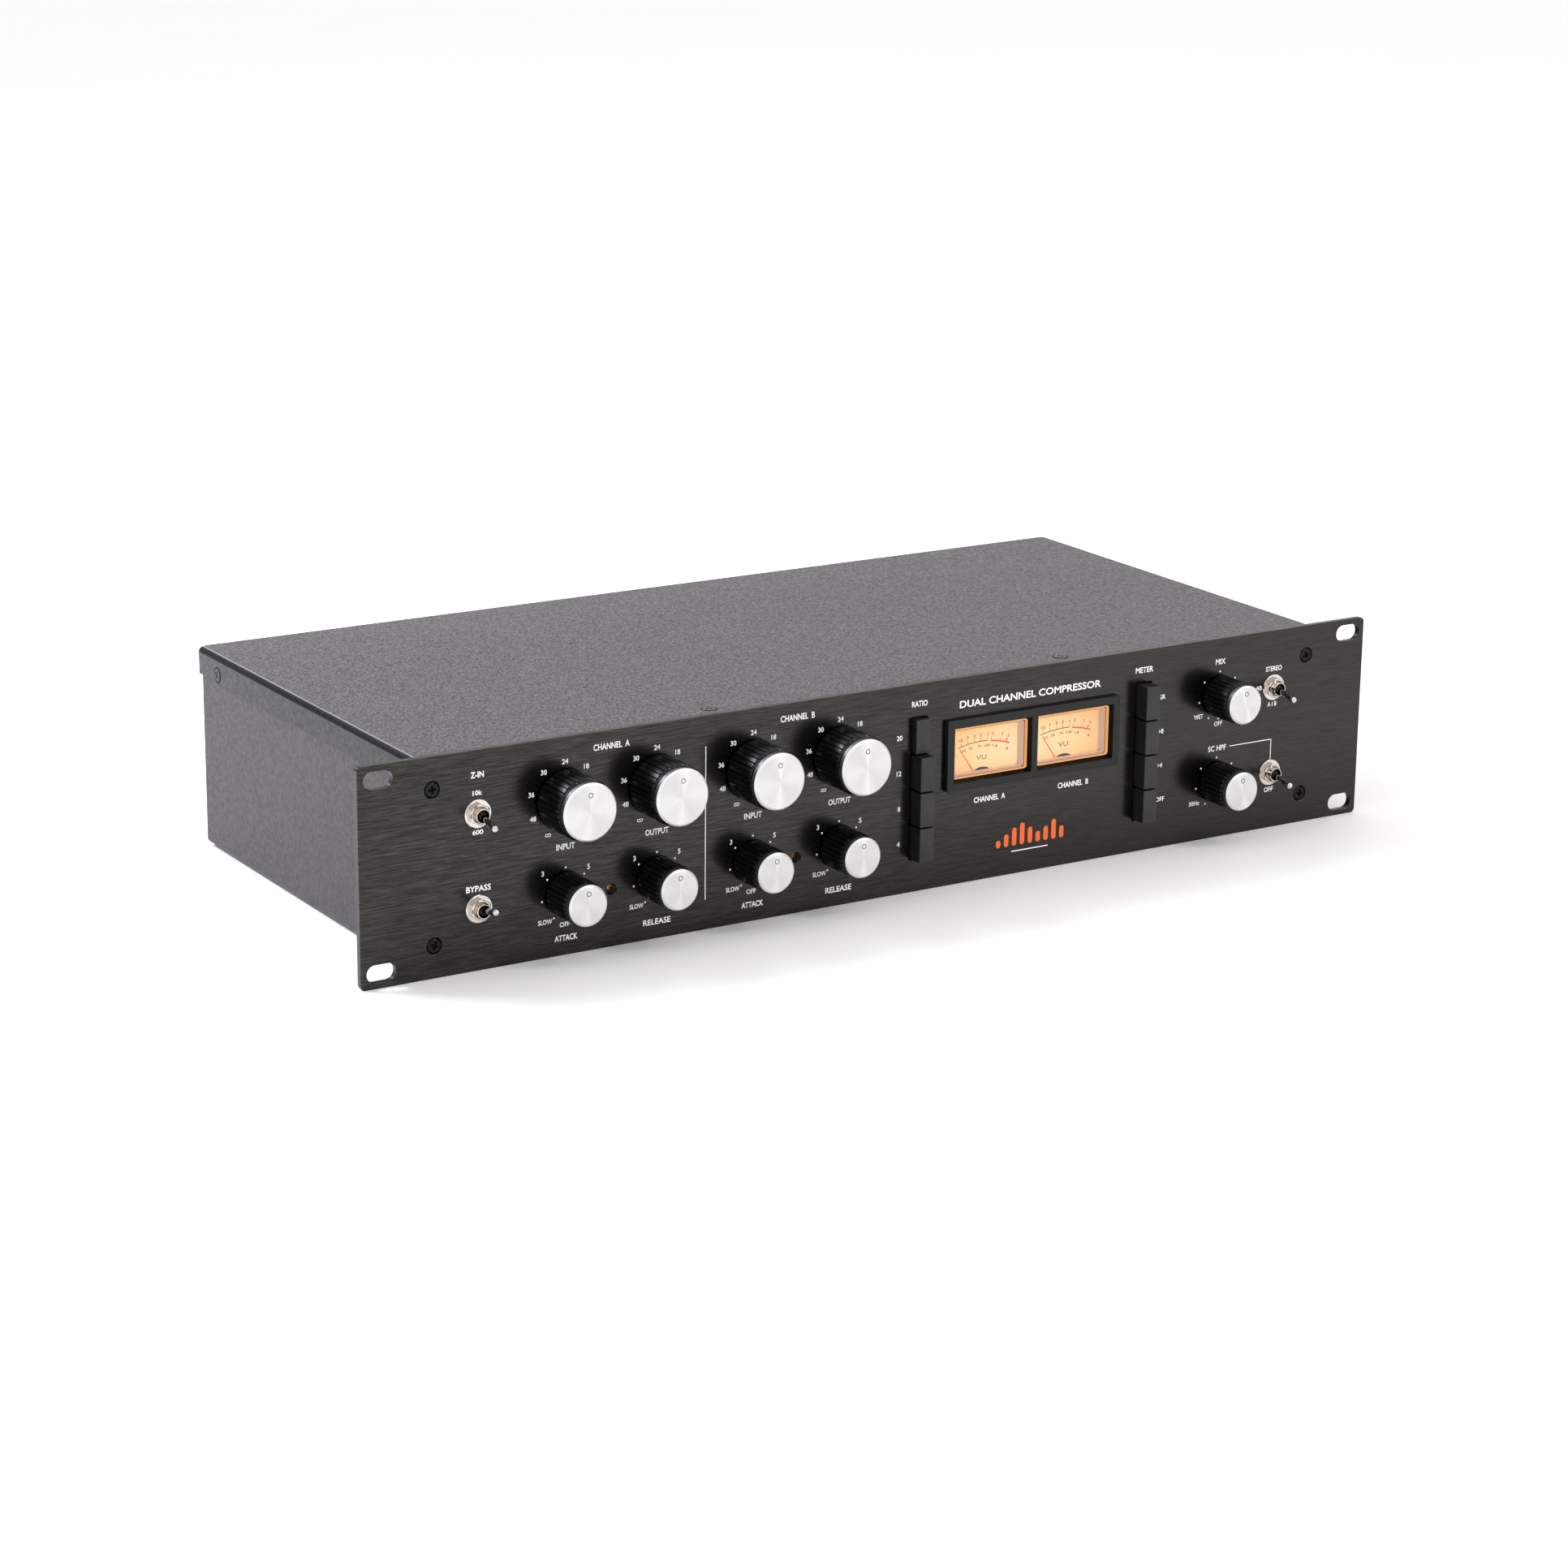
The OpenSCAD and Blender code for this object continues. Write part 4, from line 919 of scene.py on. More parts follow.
def make_levers():
    """Bat levers, built pointing at -Y and tilted about their pivot."""
    for body in LEVERS:
        joint = JOINTS[body]
        hangs = joint["range_deg"][0] < 0
        tilt = LEVER_TILT if hangs else -LEVER_TILT
        profile = [(0.0, 4.0), (0.9, 3.9), (0.95, 1.9)]
        profile += [(max(BALL_R * cos(radians(a)), 0.98), -BALL_R * sin(radians(a)))
                    for a in range(-60, 70, 10)]
        profile += [(1.05, -2.6), (1.18, -5.0), (1.3, -8.2), (1.3, -LEVER_L + 0.8)]
        profile += [(LEVER_TIP_R * cos(radians(a)), -LEVER_L - LEVER_TIP_R * sin(radians(a)))
                    for a in range(-38, 90, 8)]
        profile.append((0.0, -LEVER_L - LEVER_TIP_R))
        shape = Shape()
        lathe(shape, profile, 48)
        # The shaft takes the painted-shade chrome and the ball inside the bush the black painted shade; the
        # tip keeps the bright chrome.
        for face in shape.mesh.faces:
            along = -face.calc_center_median().y
            face.material_index = 1 if along > LEVER_L else 2 if along < BALL_OUT else 0
        pivot = Vector(joint["pos_m"]) / MM
        materials = [LEVER_CHROME_SHADE, TIP, BLACK_OXIDE_AND_SHADE]
        piece = shape.done(body + "_bat", materials, pivot, spin("X", tilt), angle=radians(45))
        stand_for(piece, body, [body])


# ---------------------------------------------------------------- push buttons

def make_buttons():
    for body in BUTTONS:
        low, high = box(body)
        centre = ((low.x + high.x) / 2, (low.z + high.z) / 2)
        cap_back = high.y - 10.0
        shape = Shape()
        rounded_block(shape, high.x - low.x, high.z - low.z, low.y, cap_back, 0.32, 0.35, centre)
        rounded_block(shape, 3.6, 3.6, cap_back, high.y, 0.1, 0.15, centre)
        stand_for(shape.done(body + "_cap", [BUTTON]), body, [body])


# ---------------------------------------------------------------- meters

LENS_W, LENS_H, LENS_T = 36.7, 21.4, 1.2
LENS_FLANGE_W, LENS_FLANGE_H = 38.0, 33.0
LENS_FLANGE_Y, LENS_FLANGE_T = 0.3, 1.0
METER_DROP = 5.0
DIAL_FRONT = box("meter_dials")[0].y
ARC_R, ARC_DROP = 41.2, 39.4
DIAL_HALF_W = 17.6
NEEDLE_REST, NEEDLE_T = 34.5, 0.28


def make_bezel():
    shape = Shape()
    windows = [round_rect(WINDOW_W, WINDOW_H, 0.25, (BEZEL_MID.x + s * METER_PITCH / 2, BEZEL_MID.z), 2)
               for s in (-1, 1)]
    outer = round_rect(BEZEL_HIGH.x - BEZEL_LOW.x, BEZEL_HIGH.z - BEZEL_LOW.z, 0.5, BEZEL_SPOT, 4)
    # The window walls take the black painted shade.
    plate(shape, outer, windows, BEZEL_LOW.y, PANEL_FRONT, 0.18, hole_slot=1)
    neck = round_rect(NECK_W, NECK_H, 0.3, BEZEL_SPOT, 2)
    plate(shape, neck, windows, PANEL_FRONT + 0.01, 0.0, 0.05, 1, 1)
    stand_for(shape.done("meter_bezel_frame", [BEZEL, BLACK_PLASTIC_AND_SHADE]), CASE, ["meter_bezel"])


def light_sleeve(shape, x, z, half_w, half_h, y_front, slot):
    """A three-sided wall between a lens and its dial, open below for the needle."""
    wall = 0.4
    outline = [(-half_w, -half_h), (-half_w, half_h), (half_w, half_h), (half_w, -half_h),
               (half_w + wall, -half_h), (half_w + wall, half_h + wall), (-half_w - wall, half_h + wall),
               (-half_w - wall, -half_h)]
    outline = [(x + u, z + w) for u, w in outline]
    rows = shape.chain([at_y(outline, y_front + 0.02), at_y(outline, DIAL_FRONT - 0.05)], slot)
    shape.fill([rows[0]], slot)
    shape.fill([rows[1]], slot)


def make_lenses():
    """Each lens is a clear tray: a rounded window whose rim and inner walls glow with painted light, and a
    flange behind the panel.
    """
    shape = Shape()
    # Slots: the clear pane, the rim's painted glow and the walls' painted glow.
    clear, rim, wall_glow = 0, 1, 2
    for body in NEEDLES:
        x = joint_spot(body)[0]
        z = BEZEL_MID.z
        inner_w, inner_h = LENS_W - 2 * LENS_T, LENS_H - 2 * LENS_T
        pane_back = PANEL_FRONT + LENS_T
        flange_back = LENS_FLANGE_Y + LENS_FLANGE_T
        bands = []
        for i in range(5):
            a = radians(90 * i / 4)
            inset = 0.4 * (1 - sin(a))
            outline = round_rect(LENS_W - 2 * inset, LENS_H - 2 * inset, 1.2, (x, z))
            bands.append((rim, at_y(outline, PANEL_FRONT + 0.4 * (1 - cos(a)))))
        wall = round_rect(LENS_W, LENS_H, 1.2, (x, z))
        flange = round_rect(LENS_FLANGE_W, LENS_FLANGE_H, 1.0, (x, z - METER_DROP))
        inner = round_rect(inner_w, inner_h, 0.8, (x, z))
        bands += [(rim, at_y(wall, LENS_FLANGE_Y)), (wall_glow, at_y(flange, LENS_FLANGE_Y)),
                  (wall_glow, at_y(flange, flange_back)), (wall_glow, at_y(inner, flange_back)),
                  (wall_glow, at_y(inner, pane_back + 0.3)),
                  (clear, at_y(round_rect(inner_w - 0.6, inner_h - 0.6, 0.6, (x, z)), pane_back))]
        loops = [shape.loop(points) for slot, points in bands]
        for (slot, _), first, second in zip(bands[1:], loops, loops[1:]):
            shape.bridge(first, second, slot)
        shape.cap(loops[0], clear)
        shape.cap(loops[-1], clear)
        # The sleeve takes the walls' painted glow.
        light_sleeve(shape, x, z, inner_w / 2, inner_h / 2, flange_back, wall_glow)
    stand_for(shape.done("meter_lens_covers", [LENS, LENS_RIM_GLOW, LENS_WALL_GLOW]), CASE, ["meter_lenses"])


def arc_band(centre, radius, width, start, end, steps, **where):
    """Part of a printed ring; angles are clockwise from the top."""
    angles = [start + (end - start) * i / steps for i in range(steps + 1)]
    outer = [around(centre, radius + width / 2, angle) for angle in angles]
    inner = [around(centre, radius - width / 2, angle) for angle in angles]
    for i in range(steps):
        ink_patch([outer[i], outer[i + 1], inner[i + 1], inner[i]], **where)


# Needle angle in degrees for each mark on the black and on the red part of the scale
BLACK_MARKS = (("10", -13.4), ("7", -9.0), ("5", -4.6), ("3", -0.6), ("1", 4.0))
RED_MARKS = (("0", 6.5), ("3", 12.6), ("5", 17.0))
PERCENT_MARKS = (("30", -12.6), ("50", -7.6), ("70", -1.4), ("100", 4.2))
ZERO_ANGLE, ARC_END, BLACK_END = 6.2, 19.6, 4.0


def tick(centre, angle, lean, length, width, **where):
    """A scale mark that starts on the arc and leans with the needle."""
    x, z = around(centre, ARC_R, angle)
    bar(x, z, x + length * sin(radians(lean)), z + length * cos(radians(lean)), width, **where)


def make_dials():
    """Card, scale, and the dark foot over the movement."""
    cards = Shape()
    ink = []
    black, brown, red = (dict(material=color, y=DIAL_FRONT, holder=ink)
                         for color in (DIAL_BLACK, DIAL_BROWN, DIAL_RED))
    for body in NEEDLES:
        x = joint_spot(body)[0]
        z = BEZEL_MID.z
        low_z, high_z = z - LENS_H / 2 - 1.0, z + LENS_H / 2 + 1.0
        card = round_rect(2 * DIAL_HALF_W, high_z - low_z, 0.4, (x, (low_z + high_z) / 2), 2)
        cards.solid([at_y(card, y) for y in (DIAL_FRONT, DIAL_FRONT + 0.8)])
        centre = (x - 0.6, z - ARC_DROP)
        arc_band(centre, ARC_R, 0.34, -16.2, BLACK_END, 16, **black)
        arc_band(centre, ARC_R - 0.1, 0.6, ZERO_ANGLE, ARC_END, 10, **red)
        for text, angle in BLACK_MARKS:
            tick(centre, angle, angle * 2.1, 1.4, 0.2, **black)
            spot = around(centre, ARC_R + 2.6, angle)
            letter(text, *spot, 1.45, bold=0.01, stretch=1.25, **brown)
        for text, angle in RED_MARKS:
            tick(centre, angle, angle * 1.9, 1.7, 0.55 if text == "5" else 0.22, **red)
            spot = around(centre, ARC_R + 2.9, angle + 0.8)
            letter(text, *spot, 1.45, bold=0.01, stretch=1.25, **red)
        for text, angle in PERCENT_MARKS:
            spot = around(centre, ARC_R - 2.0, angle)
            letter(text, *spot, 1.1, bold=0.01, stretch=1.4, **brown)
        letter("%", *around(centre, ARC_R - 2.2, 8.6), 1.1, bold=0.0, stretch=1.2, **brown)
        ink_patch(circle(0.5, around(centre, ARC_R - 2.2, 10.9), 20), **red)
        plus = around(centre, ARC_R - 2.6, 19.4)
        bar(plus[0] - 0.8, plus[1], plus[0] + 0.8, plus[1], 0.36, **red)
        bar(plus[0], plus[1] - 0.8, plus[0], plus[1] + 0.8, 0.36, **red)
        minus = around(centre, ARC_R - 2.6, -19.0)
        bar(minus[0] - 0.7, minus[1], minus[0] + 0.7, minus[1], 0.3, **black)
        letter("VU", x - 0.4, z - 5.0, 2.0, 5.0, bold=0.0, **black)
    dials = cards.done("meter_dial_cards", [DIAL])
    stand_for(dials, CASE, ["meter_dials"])
    stand_for(join(ink, "meter_scales"), CASE, [])
    feet = Shape()
    for body in NEEDLES:
        x = joint_spot(body)[0]
        outline = [(x + 4.4 * cos(radians(a)), BEZEL_MID.z - LENS_H / 2 - 0.9 + 2.6 * sin(radians(a)))
                   for a in range(0, 181, 8)]
        feet.solid([at_y(outline, DIAL_FRONT - 0.25), at_y(outline, DIAL_FRONT - 0.05)])
    stand_for(feet.done("meter_feet", [FOOT]), CASE, [])


def make_needles():
    for body in NEEDLES:
        x, pivot_z = joint_spot(body)
        low, high = box(body)
        length = hypot(low.x - x, high.z - pivot_z)
        front = low.y
        shape = Shape()
        back = front + NEEDLE_T
        rows = [[(-w, front, r), (w, front, r), (w, back, r), (-w, back, r)]
                for r, w in ((-4.4, 0.45), (-1.0, 0.34), (4.0, 0.2),
                             (length - 1.2, 0.14), (length - 0.3, 0.07))]
        shape.solid(rows)
        lathe(shape, [(0.0, front), (1.3, front), (1.5, front + 0.2), (1.5, front + 0.9), (0.5, front + 0.9),
                      (0.5, high.y), (0.0, high.y)], 40)
        piece = shape.done(body + "_pointer", [NEEDLE_RED], (x, 0, pivot_z), spin("Y", -NEEDLE_REST))
        stand_for(piece, body, [body])


# ---------------------------------------------------------------- screws

PROUD = 0.18
SUNK_HEAD_R, PAN_HEAD_R = 3.05, 2.8
SUNK_LENGTH = 6.0
COVER_SCREW_X, COVER_SCREW_Y = (-82, 88), 8.7
FLANGE_SCREW_Y, FLANGE_SCREW_Z = 182, 34.5
REAR_SCREW_X = 100


def cross_outline(arm, width):
    """A cross-head recess, with arms of that half length and half width."""
    points = []
    for k in range(4):
        a = radians(-90 * k)
        for x, z in ((-width, arm), (width, arm), (width, width)):
            points.append((x * cos(a) - z * sin(a), x * sin(a) + z * cos(a)))
    return points


def cross_screw(shape, head_r, countersunk, length, matrix, shade_ring=False):
    """A cross-head screw; its own -Y points out of the head."""
    start = len(shape.mesh.verts)
    if countersunk:
        outside = [(head_r - 0.4, 0.0), (head_r - 0.1, 0.22), (head_r, 0.4), (1.5, 1.7), (1.5, length)]
        top = 0.0
    else:
        top = -1.6
        outside = [(head_r - 1.1, top), (head_r - 0.45, top + 0.22), (head_r - 0.08, top + 0.75),
                   (head_r, -0.15), (head_r, 0.0), (1.5, 0.0), (1.5, length)]
    loops = shape.chain([ring(r, y, 40) for r, y in outside])
    shape.cap(loops[-1])
    arm, width, depth = 1.7, 0.5, 1.0
    # The cross recess, and the ring round a cover screw's head, take slot 1, painted black shade.
    mouth = shape.loop(at_y(cross_outline(arm, width), top))
    foot = shape.loop(at_y(cross_outline(arm * 0.45, width * 0.7), top + depth))
    shape.fill([loops[0], mouth])
    shape.bridge(mouth, foot, 1)
    shape.cap(foot, 1)
    if shade_ring:
        rim = [shape.loop(ring(r, PROUD - 0.03, 40)) for r in (head_r - 0.15, head_r + 0.35)]
        shape.bridge(rim[0], rim[1], 1)
    shape.mesh.verts.ensure_lookup_table()
    for vertex in shape.mesh.verts[start:]:
        vertex.co = matrix @ vertex.co


def make_screws():
    """Panel and cover screws, then those of the rear connectors."""
    cover_high = box("top_cover")[1]
    shape = Shape()
    for x, z in PANEL_SCREWS:
        at = Matrix.Translation((x, PANEL_FRONT + 0.1, z))
        cross_screw(shape, SUNK_HEAD_R, True, 8.0, at @ spin("Y", x / 6 + z))
    places = [((x, COVER_SCREW_Y, cover_high.z + PROUD), spin("X", -90), x) for x in COVER_SCREW_X]
    for s in (-1, 1):
        side = (s * (cover_high.x + PROUD), FLANGE_SCREW_Y, FLANGE_SCREW_Z)
        rear = (s * REAR_SCREW_X, cover_high.y + PROUD, FLANGE_SCREW_Z)
        places += [(side, spin("Z", 90 * s), 20), (rear, spin("Z", 180), 35 * s)]
    for at, facing, turn in places:
        matrix = Matrix.Translation(at) @ (facing @ spin("Y", turn))
        cross_screw(shape, SUNK_HEAD_R, True, SUNK_LENGTH, matrix, True)
    stand_for(shape.done("case_screw_set", [BLACK_OXIDE_AND_SHADE, BLACK_PLASTIC_AND_SHADE]), CASE, ["case_screws"])
    shape = Shape()
    face = REAR_FACE + FLANGE_T
    spots = [spot for x in XLR_IN + XLR_OUT for spot in flange_screws(x, XLR_SCREW)]
    for x, z in spots + flange_screws(INLET_X, INLET_SCREW):
        turn = spin("Z", 180) @ spin("Y", x * 3)
        cross_screw(shape, PAN_HEAD_R, False, 6.0, Matrix.Translation((x, face, z)) @ turn)
    stand_for(shape.done("connector_screw_set", [ZINC, BLACK_PLASTIC_AND_SHADE]), CASE, ["connector_screws"])


# ---------------------------------------------------------------- case

SHEET_T = 1.2
TRAY_LOW, TRAY_HIGH = box("chassis_tray")
REAR_FACE = box("rear_wall")[1].y
LIP_D = 18.0
FLANGE_T = 2.0


def mount_spot(name):
    for mount in frame["record"]["mounts"]:
        if mount["name"] == name:
            return Vector(mount["pos_m"]) / MM
    raise KeyError(name)


XLR_IN = [mount_spot(f"xlr_input_{channel}").x for channel in "ab"]
XLR_OUT = [mount_spot(f"xlr_output_{channel}").x for channel in "ab"]
JACK_MOUNTS = [mount_spot(f"jack_{level}_{channel}") for level in ("upper", "lower") for channel in "ab"]
JACKS = [(mount.x, mount.z) for mount in JACK_MOUNTS]
INLET_X = middle("power_inlet").x
INLET_BODY_W, INLET_BODY_H = 54, 27
XLR_SCREW, INLET_SCREW = (9.5, 12.0), (30.0, 0.0)


def flange_screws(x, offset):
    """The two screws of a rear connector, on either side of its middle."""
    return [(x + s * offset[0], s * offset[1]) for s in (-1, 1)]


def lid_path(inset, corner=1.6):
    """The cover's plan: up the left side, across the rear and down the right side."""
    low, high = box("top_cover")
    left, right, rear = low.x + inset, high.x - inset, high.y - inset
    path = [(left, low.y)]
    path += [(left, y) for y in (60.0, 120.0, rear - corner)]
    path += arc((left + corner, rear - corner), corner, 180, 90, 5)[1:]
    path += arc((right - corner, rear - corner), corner, 90, 0, 5)
    path += [(right, y) for y in (120.0, 60.0, low.y)]
    return path


COVER_FOLD = 2.6


def apply_modifiers(piece):
    graph = bpy.context.evaluated_depsgraph_get()
    data = bpy.data.meshes.new_from_object(piece.evaluated_get(graph), depsgraph=graph)
    piece.modifiers.clear()
    piece.data = data


def make_cover():
    """A folded lid, open at the front, with round folds on three sides; each fold is painted with a band of
    shade under a thin highlight, and the sides below with shade.
    """
    low, high = box("top_cover")

    def skin(shape, shrink, bottom, top, radius):
        rows = [[(x, y, bottom) for x, y in lid_path(shrink)]]
        for i in range(7):
            a = radians(90 * i / 6)
            z = top - radius * (1 - sin(a))
            rows.append([(x, y, z) for x, y in lid_path(shrink + radius * (1 - cos(a)))])
        return shape.chain(rows, closed=False)

    def front_edge(loops):
        return [row[0] for row in loops] + [row[-1] for row in reversed(loops)]

    shape = Shape()
    outer = skin(shape, 0.0, low.z, high.z, COVER_FOLD)
    inner = skin(shape, SHEET_T, low.z, high.z - SHEET_T, COVER_FOLD - SHEET_T)
    shape.cap(outer[-1])
    shape.cap(inner[-1])
    # Painted light by depth below the top: the coat, a thin painted highlight, a wide band of painted shade
    # round the fold, then the shaded copy of the coat down the sides.
    for face in shape.mesh.faces:
        depth = (high.z - face.calc_center_median().z) / COVER_FOLD
        face.material_index = 0 if depth < 0.03 else 2 if depth < 0.15 else 1 if depth < 0.97 else 3
    shape.bridge(outer[0], inner[0], closed=False)
    near, far = front_edge(outer), front_edge(inner)
    for a, b, c, d in zip(near, near[1:], far[1:], far):
        shape.mesh.faces.new((a, b, c, d))
    piece = shape.done("cover_sheet", [POWDER, FOLD_SHADE, FOLD_HIGHLIGHT, FLANGE_SHADE])
    bevel = piece.modifiers.new("edge", "BEVEL")
    bevel.width = 0.18 * MM
    bevel.segments = 2
    bevel.limit_method = "ANGLE"
    bevel.angle_limit = radians(60)
    apply_modifiers(piece)
    stand_for(piece, CASE, ["top_cover"])


def make_tray():
    """Floor and sides in one folded sheet, with the front frame and its lip, then the rear wall."""
    half = TRAY_HIGH.x
    fold = 2.2
    top, bottom = TRAY_HIGH.z, TRAY_LOW.z
    side_top = box("top_cover")[1].z - COVER_FOLD

    def section(inset, radius):
        centre = (-half + inset + radius, bottom + inset + radius)
        left = [(-half + inset, side_top)] + arc(centre, radius, 180, 270, 8)
        return left + [(-x, z) for x, z in reversed(left)]

    shape = Shape()
    outer, inner = section(0, fold), section(SHEET_T, fold - SHEET_T)
    profile = outer + list(reversed(inner))
    rows = shape.chain([at_y(profile, TRAY_LOW.y + 0.01), at_y(profile, REAR_FACE)])
    shape.fill([rows[0]])
    shape.fill([rows[1]])
    inner_w = 2 * (half - SHEET_T) - 0.1
    wall_h = top - bottom - SHEET_T - 0.1
    wall_mid = (top + bottom + SHEET_T) / 2
    wall = round_rect(inner_w, wall_h, 0.8, (0, wall_mid), 3)
    frame_hole = round_rect(inner_w - 22.8, wall_h - 12.0, 1.0, (0, wall_mid), 3)
    plate(shape, wall, [frame_hole], 0.02, 1.5, 0.1)
    lip = round_rect(inner_w - 2 * SHEET_T, SHEET_T, 0.25, (0, top - SHEET_T / 2), 3)
    shape.solid([at_y(lip, 1.45), at_y(lip, LIP_D)])
    stand_for(shape.done("tray_sheet", [SATIN]), CASE, ["chassis_tray"])
    holes = [circle(12.1, (x, 0)) for x in XLR_IN + XLR_OUT]
    holes += [circle(4.9, spot) for spot in JACKS]
    holes.append(round_rect(INLET_BODY_W + 0.6, INLET_BODY_H + 0.6, 0.4, (INLET_X, 0), 2))
    shape = Shape()
    plate(shape, wall, holes, REAR_FACE - SHEET_T, REAR_FACE, 0.12)
    stand_for(shape.done("rear_wall_sheet", [SATIN]), CASE, ["rear_wall"])


# ---------------------------------------------------------------- rear connectors

XLR_W, XLR_H = 26, 31
XLR_PINS = (180, 60, 300)
XLR_PIN_CIRCLE_R = 5.6
XLR_BACK = 22.0
SCREW_HOLE_R = 1.7


def connector_flange(shape, x, hole):
    holes = [hole] + [circle(SCREW_HOLE_R, spot, 24) for spot in flange_screws(x, XLR_SCREW)]
    plate(shape, round_rect(XLR_W, XLR_H, 2.0, (x, 0), 5), holes, REAR_FACE, REAR_FACE + FLANGE_T, 0.35)


def xlr_back(shape, x):
    back = REAR_FACE - XLR_BACK
    lathe(shape, [(0.0, back), (11.6, back), (11.8, back + 0.3), (11.8, REAR_FACE)], 64, (x, 0), capped=False)


def make_xlr():
    """Male outputs with three pins each, and female inputs with three sockets each."""
    mouth = REAR_FACE + FLANGE_T
    deep = mouth - 16.0
    shape, pins = Shape(), Shape()
    for x in XLR_OUT:
        connector_flange(shape, x, circle(9.4, (x, 0), 64))
        lathe(shape, [(9.4, mouth - 0.3), (9.4, deep), (0.0, deep)], 64, (x, 0), capped=False)
        xlr_back(shape, x)
        for a in XLR_PINS:
            lathe(pins, [(0.0, deep - 0.5), (1.2, deep - 0.5), (1.2, deep + 9.6), (0.7, deep + 10.4),
                         (0.0, deep + 10.5)], 24, around((x, 0), XLR_PIN_CIRCLE_R, a))
    stand_for(shape.done("xlr_output_shells", [CONNECTOR]), CASE, ["xlr_outputs"])
    stand_for(pins.done("xlr_output_pins", [STEEL]), CASE, [])
    shape = Shape()
    for x in XLR_IN:
        connector_flange(shape, x, circle(10.6, (x, 0), 64))
        lathe(shape, [(10.6, mouth - 0.3), (10.6, deep), (8.4, deep), (8.4, mouth - 1.3), (8.1, mouth - 1.0)],
              64, (x, 0), capped=False)
        xlr_back(shape, x)
        sockets = [around((x, 0), XLR_PIN_CIRCLE_R, a) for a in XLR_PINS]
        face = shape.loop(ring(8.1, mouth - 1.0, 64, (x, 0)))
        rims = [shape.loop(ring(1.5, mouth - 1.0, 24, spot)) for spot in sockets]
        shape.fill([face] + rims)
        for rim, spot in zip(rims, sockets):
            floor = shape.loop(ring(1.5, mouth - 9.0, 24, spot))
            shape.bridge(rim, floor)
            shape.cap(floor)
    stand_for(shape.done("xlr_input_shells", [CONNECTOR]), CASE, ["xlr_inputs"])


JACK_BORE_R, JACK_NUT_AF = 3.25, 12.0


def make_jacks():
    bodies, nuts = Shape(), Shape()
    mouth = REAR_FACE + 2.6
    for spot in JACKS:
        lathe(bodies, [(JACK_BORE_R, mouth - 28), (JACK_BORE_R, mouth - 0.5), (3.7, mouth), (4.4, mouth),
                       (4.6, mouth - 0.3), (4.6, REAR_FACE - 1.4), (6.9, REAR_FACE - 1.4),
                       (6.9, mouth - 30), (0, mouth - 30)], 64, spot, capped=False)
        bodies.cap(bodies.loop(ring(JACK_BORE_R, mouth - 28, 64, spot)))
        corner = JACK_NUT_AF / 2 / cos(radians(30))
        rows = [ring(r, REAR_FACE + out, 96, spot) for r, out in ((4.7, 0.0), (4.7, 1.9), (5.7, 2.0))]
        for limit, out in ((corner - 0.3, 1.7), (corner + 1, 1.3), (corner + 1, 0.0)):
            rows.append(ring(limit, REAR_FACE + out, 96, spot, lambda a, r: min(r, hexagon(a, JACK_NUT_AF))))
        loops = nuts.chain(rows)
        nuts.bridge(loops[-1], loops[0])
    stand_for(bodies.done("jack_bodies", [CONNECTOR]), CASE, ["jack_sockets"])
    stand_for(nuts.done("jack_nuts", [NICKEL]), CASE, [])


INLET_W, INLET_H = 68, 32
SOCKET_OFFSET, ROCKER_OFFSET = -9.0, 17.0


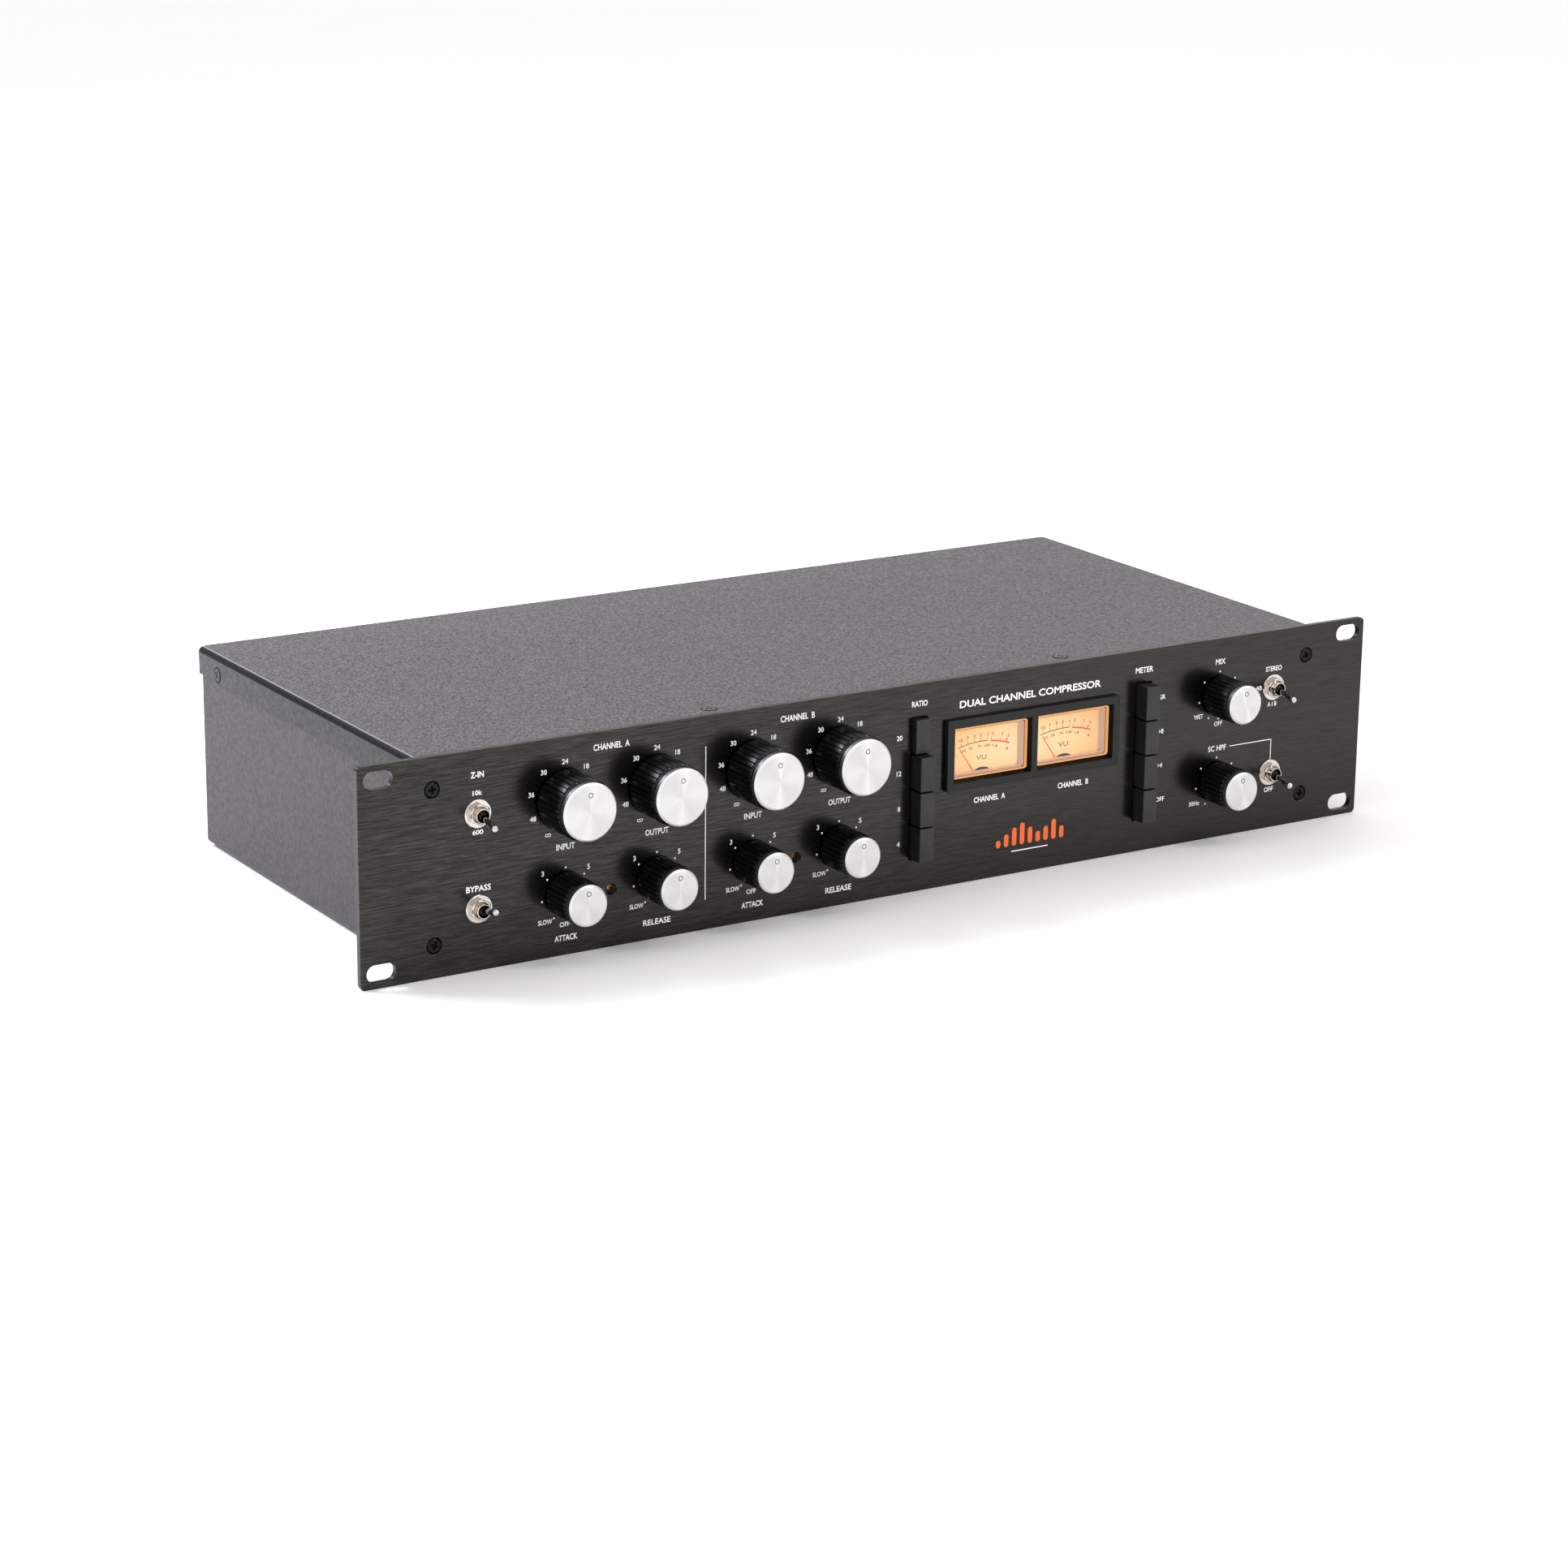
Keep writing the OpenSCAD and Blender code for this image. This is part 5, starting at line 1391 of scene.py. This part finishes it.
def make_inlet():
    shape = Shape()
    face = REAR_FACE + FLANGE_T
    iec_x, rocker_x = INLET_X + SOCKET_OFFSET, INLET_X + ROCKER_OFFSET
    iec = [(iec_x + u, w) for u, w in ((-12, -8.2), (12, -8.2), (12, 4.4),
                                       (8.4, 8.2), (-8.4, 8.2), (-12, 4.4))]
    pocket = round_rect(11.6, 16.8, 0.3, (rocker_x, 0), 2)
    screws = [circle(SCREW_HOLE_R, spot, 24) for spot in flange_screws(INLET_X, INLET_SCREW)]
    outline = round_rect(INLET_W, INLET_H, 3.0, (INLET_X, 0), 6)
    plate(shape, outline, [iec, pocket] + screws, REAR_FACE, face, 0.3)
    for outline, depth in ((iec, 16.0), (pocket, 8.0)):
        rows = shape.chain([at_y(outline, face - 0.3), at_y(outline, face - depth)])
        shape.cap(rows[-1])
    body = round_rect(INLET_BODY_W, INLET_BODY_H, 0.5, (INLET_X, 0), 2)
    rows = shape.chain([at_y(body, REAR_FACE), at_y(body, face - 26)])
    shape.cap(rows[-1])
    stand_for(shape.done("power_inlet_housing", [CONNECTOR]), CASE, ["power_inlet"])
    pins = Shape()
    for dx, dz in ((-7, -2), (0, 2), (7, -2)):
        rounded_pin = round_rect(2.0, 4.0, 0.6, (iec_x + dx, dz), 4)
        tip = offset_outline(rounded_pin, -0.4)
        pins.solid([at_y(rounded_pin, face - 16.2), at_y(rounded_pin, face - 5.6), at_y(tip, face - 5.0)])
    stand_for(pins.done("power_inlet_pins", [STEEL]), CASE, [])


ROCKER_TILT = 9


def make_rocker():
    """The rocker's side view is a shallow V; it is built level and then tilted."""
    body = "power_rocker"
    pivot = Vector(JOINTS[body]["pos_m"]) / MM
    crown = [(3.0 - cos(radians(90 * t)) * (1 - abs(t)), 7.5 * t) for t in [i / 8 for i in range(-8, 9)]]
    heel = arc((0.0, 0.0), 4.0, 120, 240, 10)
    side = crown + [(0.0, 7.4)] + heel + [(0.0, -7.4)]
    end = offset_outline(side, -0.3)
    shape = Shape()
    shape.solid([[(x, y, z) for y, z in outline]
                 for x, outline in ((-5.5, end), (-5.2, side), (5.2, side), (5.5, end))])
    for s in (-1, 1):
        axle = [[(s * x, 1.0 * cos(radians(a)), 1.0 * sin(radians(a))) for a in range(0, 360, 15)]
                for x in (5.5, 6.5)]
        shape.solid(axle)
    piece = shape.done("power_rocker_key", [ROCKER], pivot, spin("X", ROCKER_TILT))
    stand_for(piece, body, [body])


# ---------------------------------------------------------------- pieces kept from the CAD

KEPT = {
    "meter_bodies": BLACK_PLASTIC_AND_SHADE, "potentiometers": STEEL, "button_switch_banks": BLACK_PLASTIC_AND_SHADE,
    "trimmer_bodies": TRIMMER, "trim_screw_a": BRASS, "trim_screw_b": BRASS, "circuit_boards": BOARD,
    "board_components": COMPONENT, "audio_transformers": LAMINATION, "mains_transformer": TAPE,
}


def finish_kept_nodes():
    for name, material in KEPT.items():
        piece = frame["nodes"][name]
        piece.data.materials.clear()
        piece.data.materials.append(material)


make_camera()
make_floor()
light_studio()
make_panel()
print_legends()
make_knobs()
make_toggle_hardware()
make_levers()
make_buttons()
make_bezel()
make_lenses()
make_dials()
make_needles()
make_cover()
make_tray()
make_xlr()
make_jacks()
make_inlet()
make_rocker()
make_screws()
finish_kept_nodes()
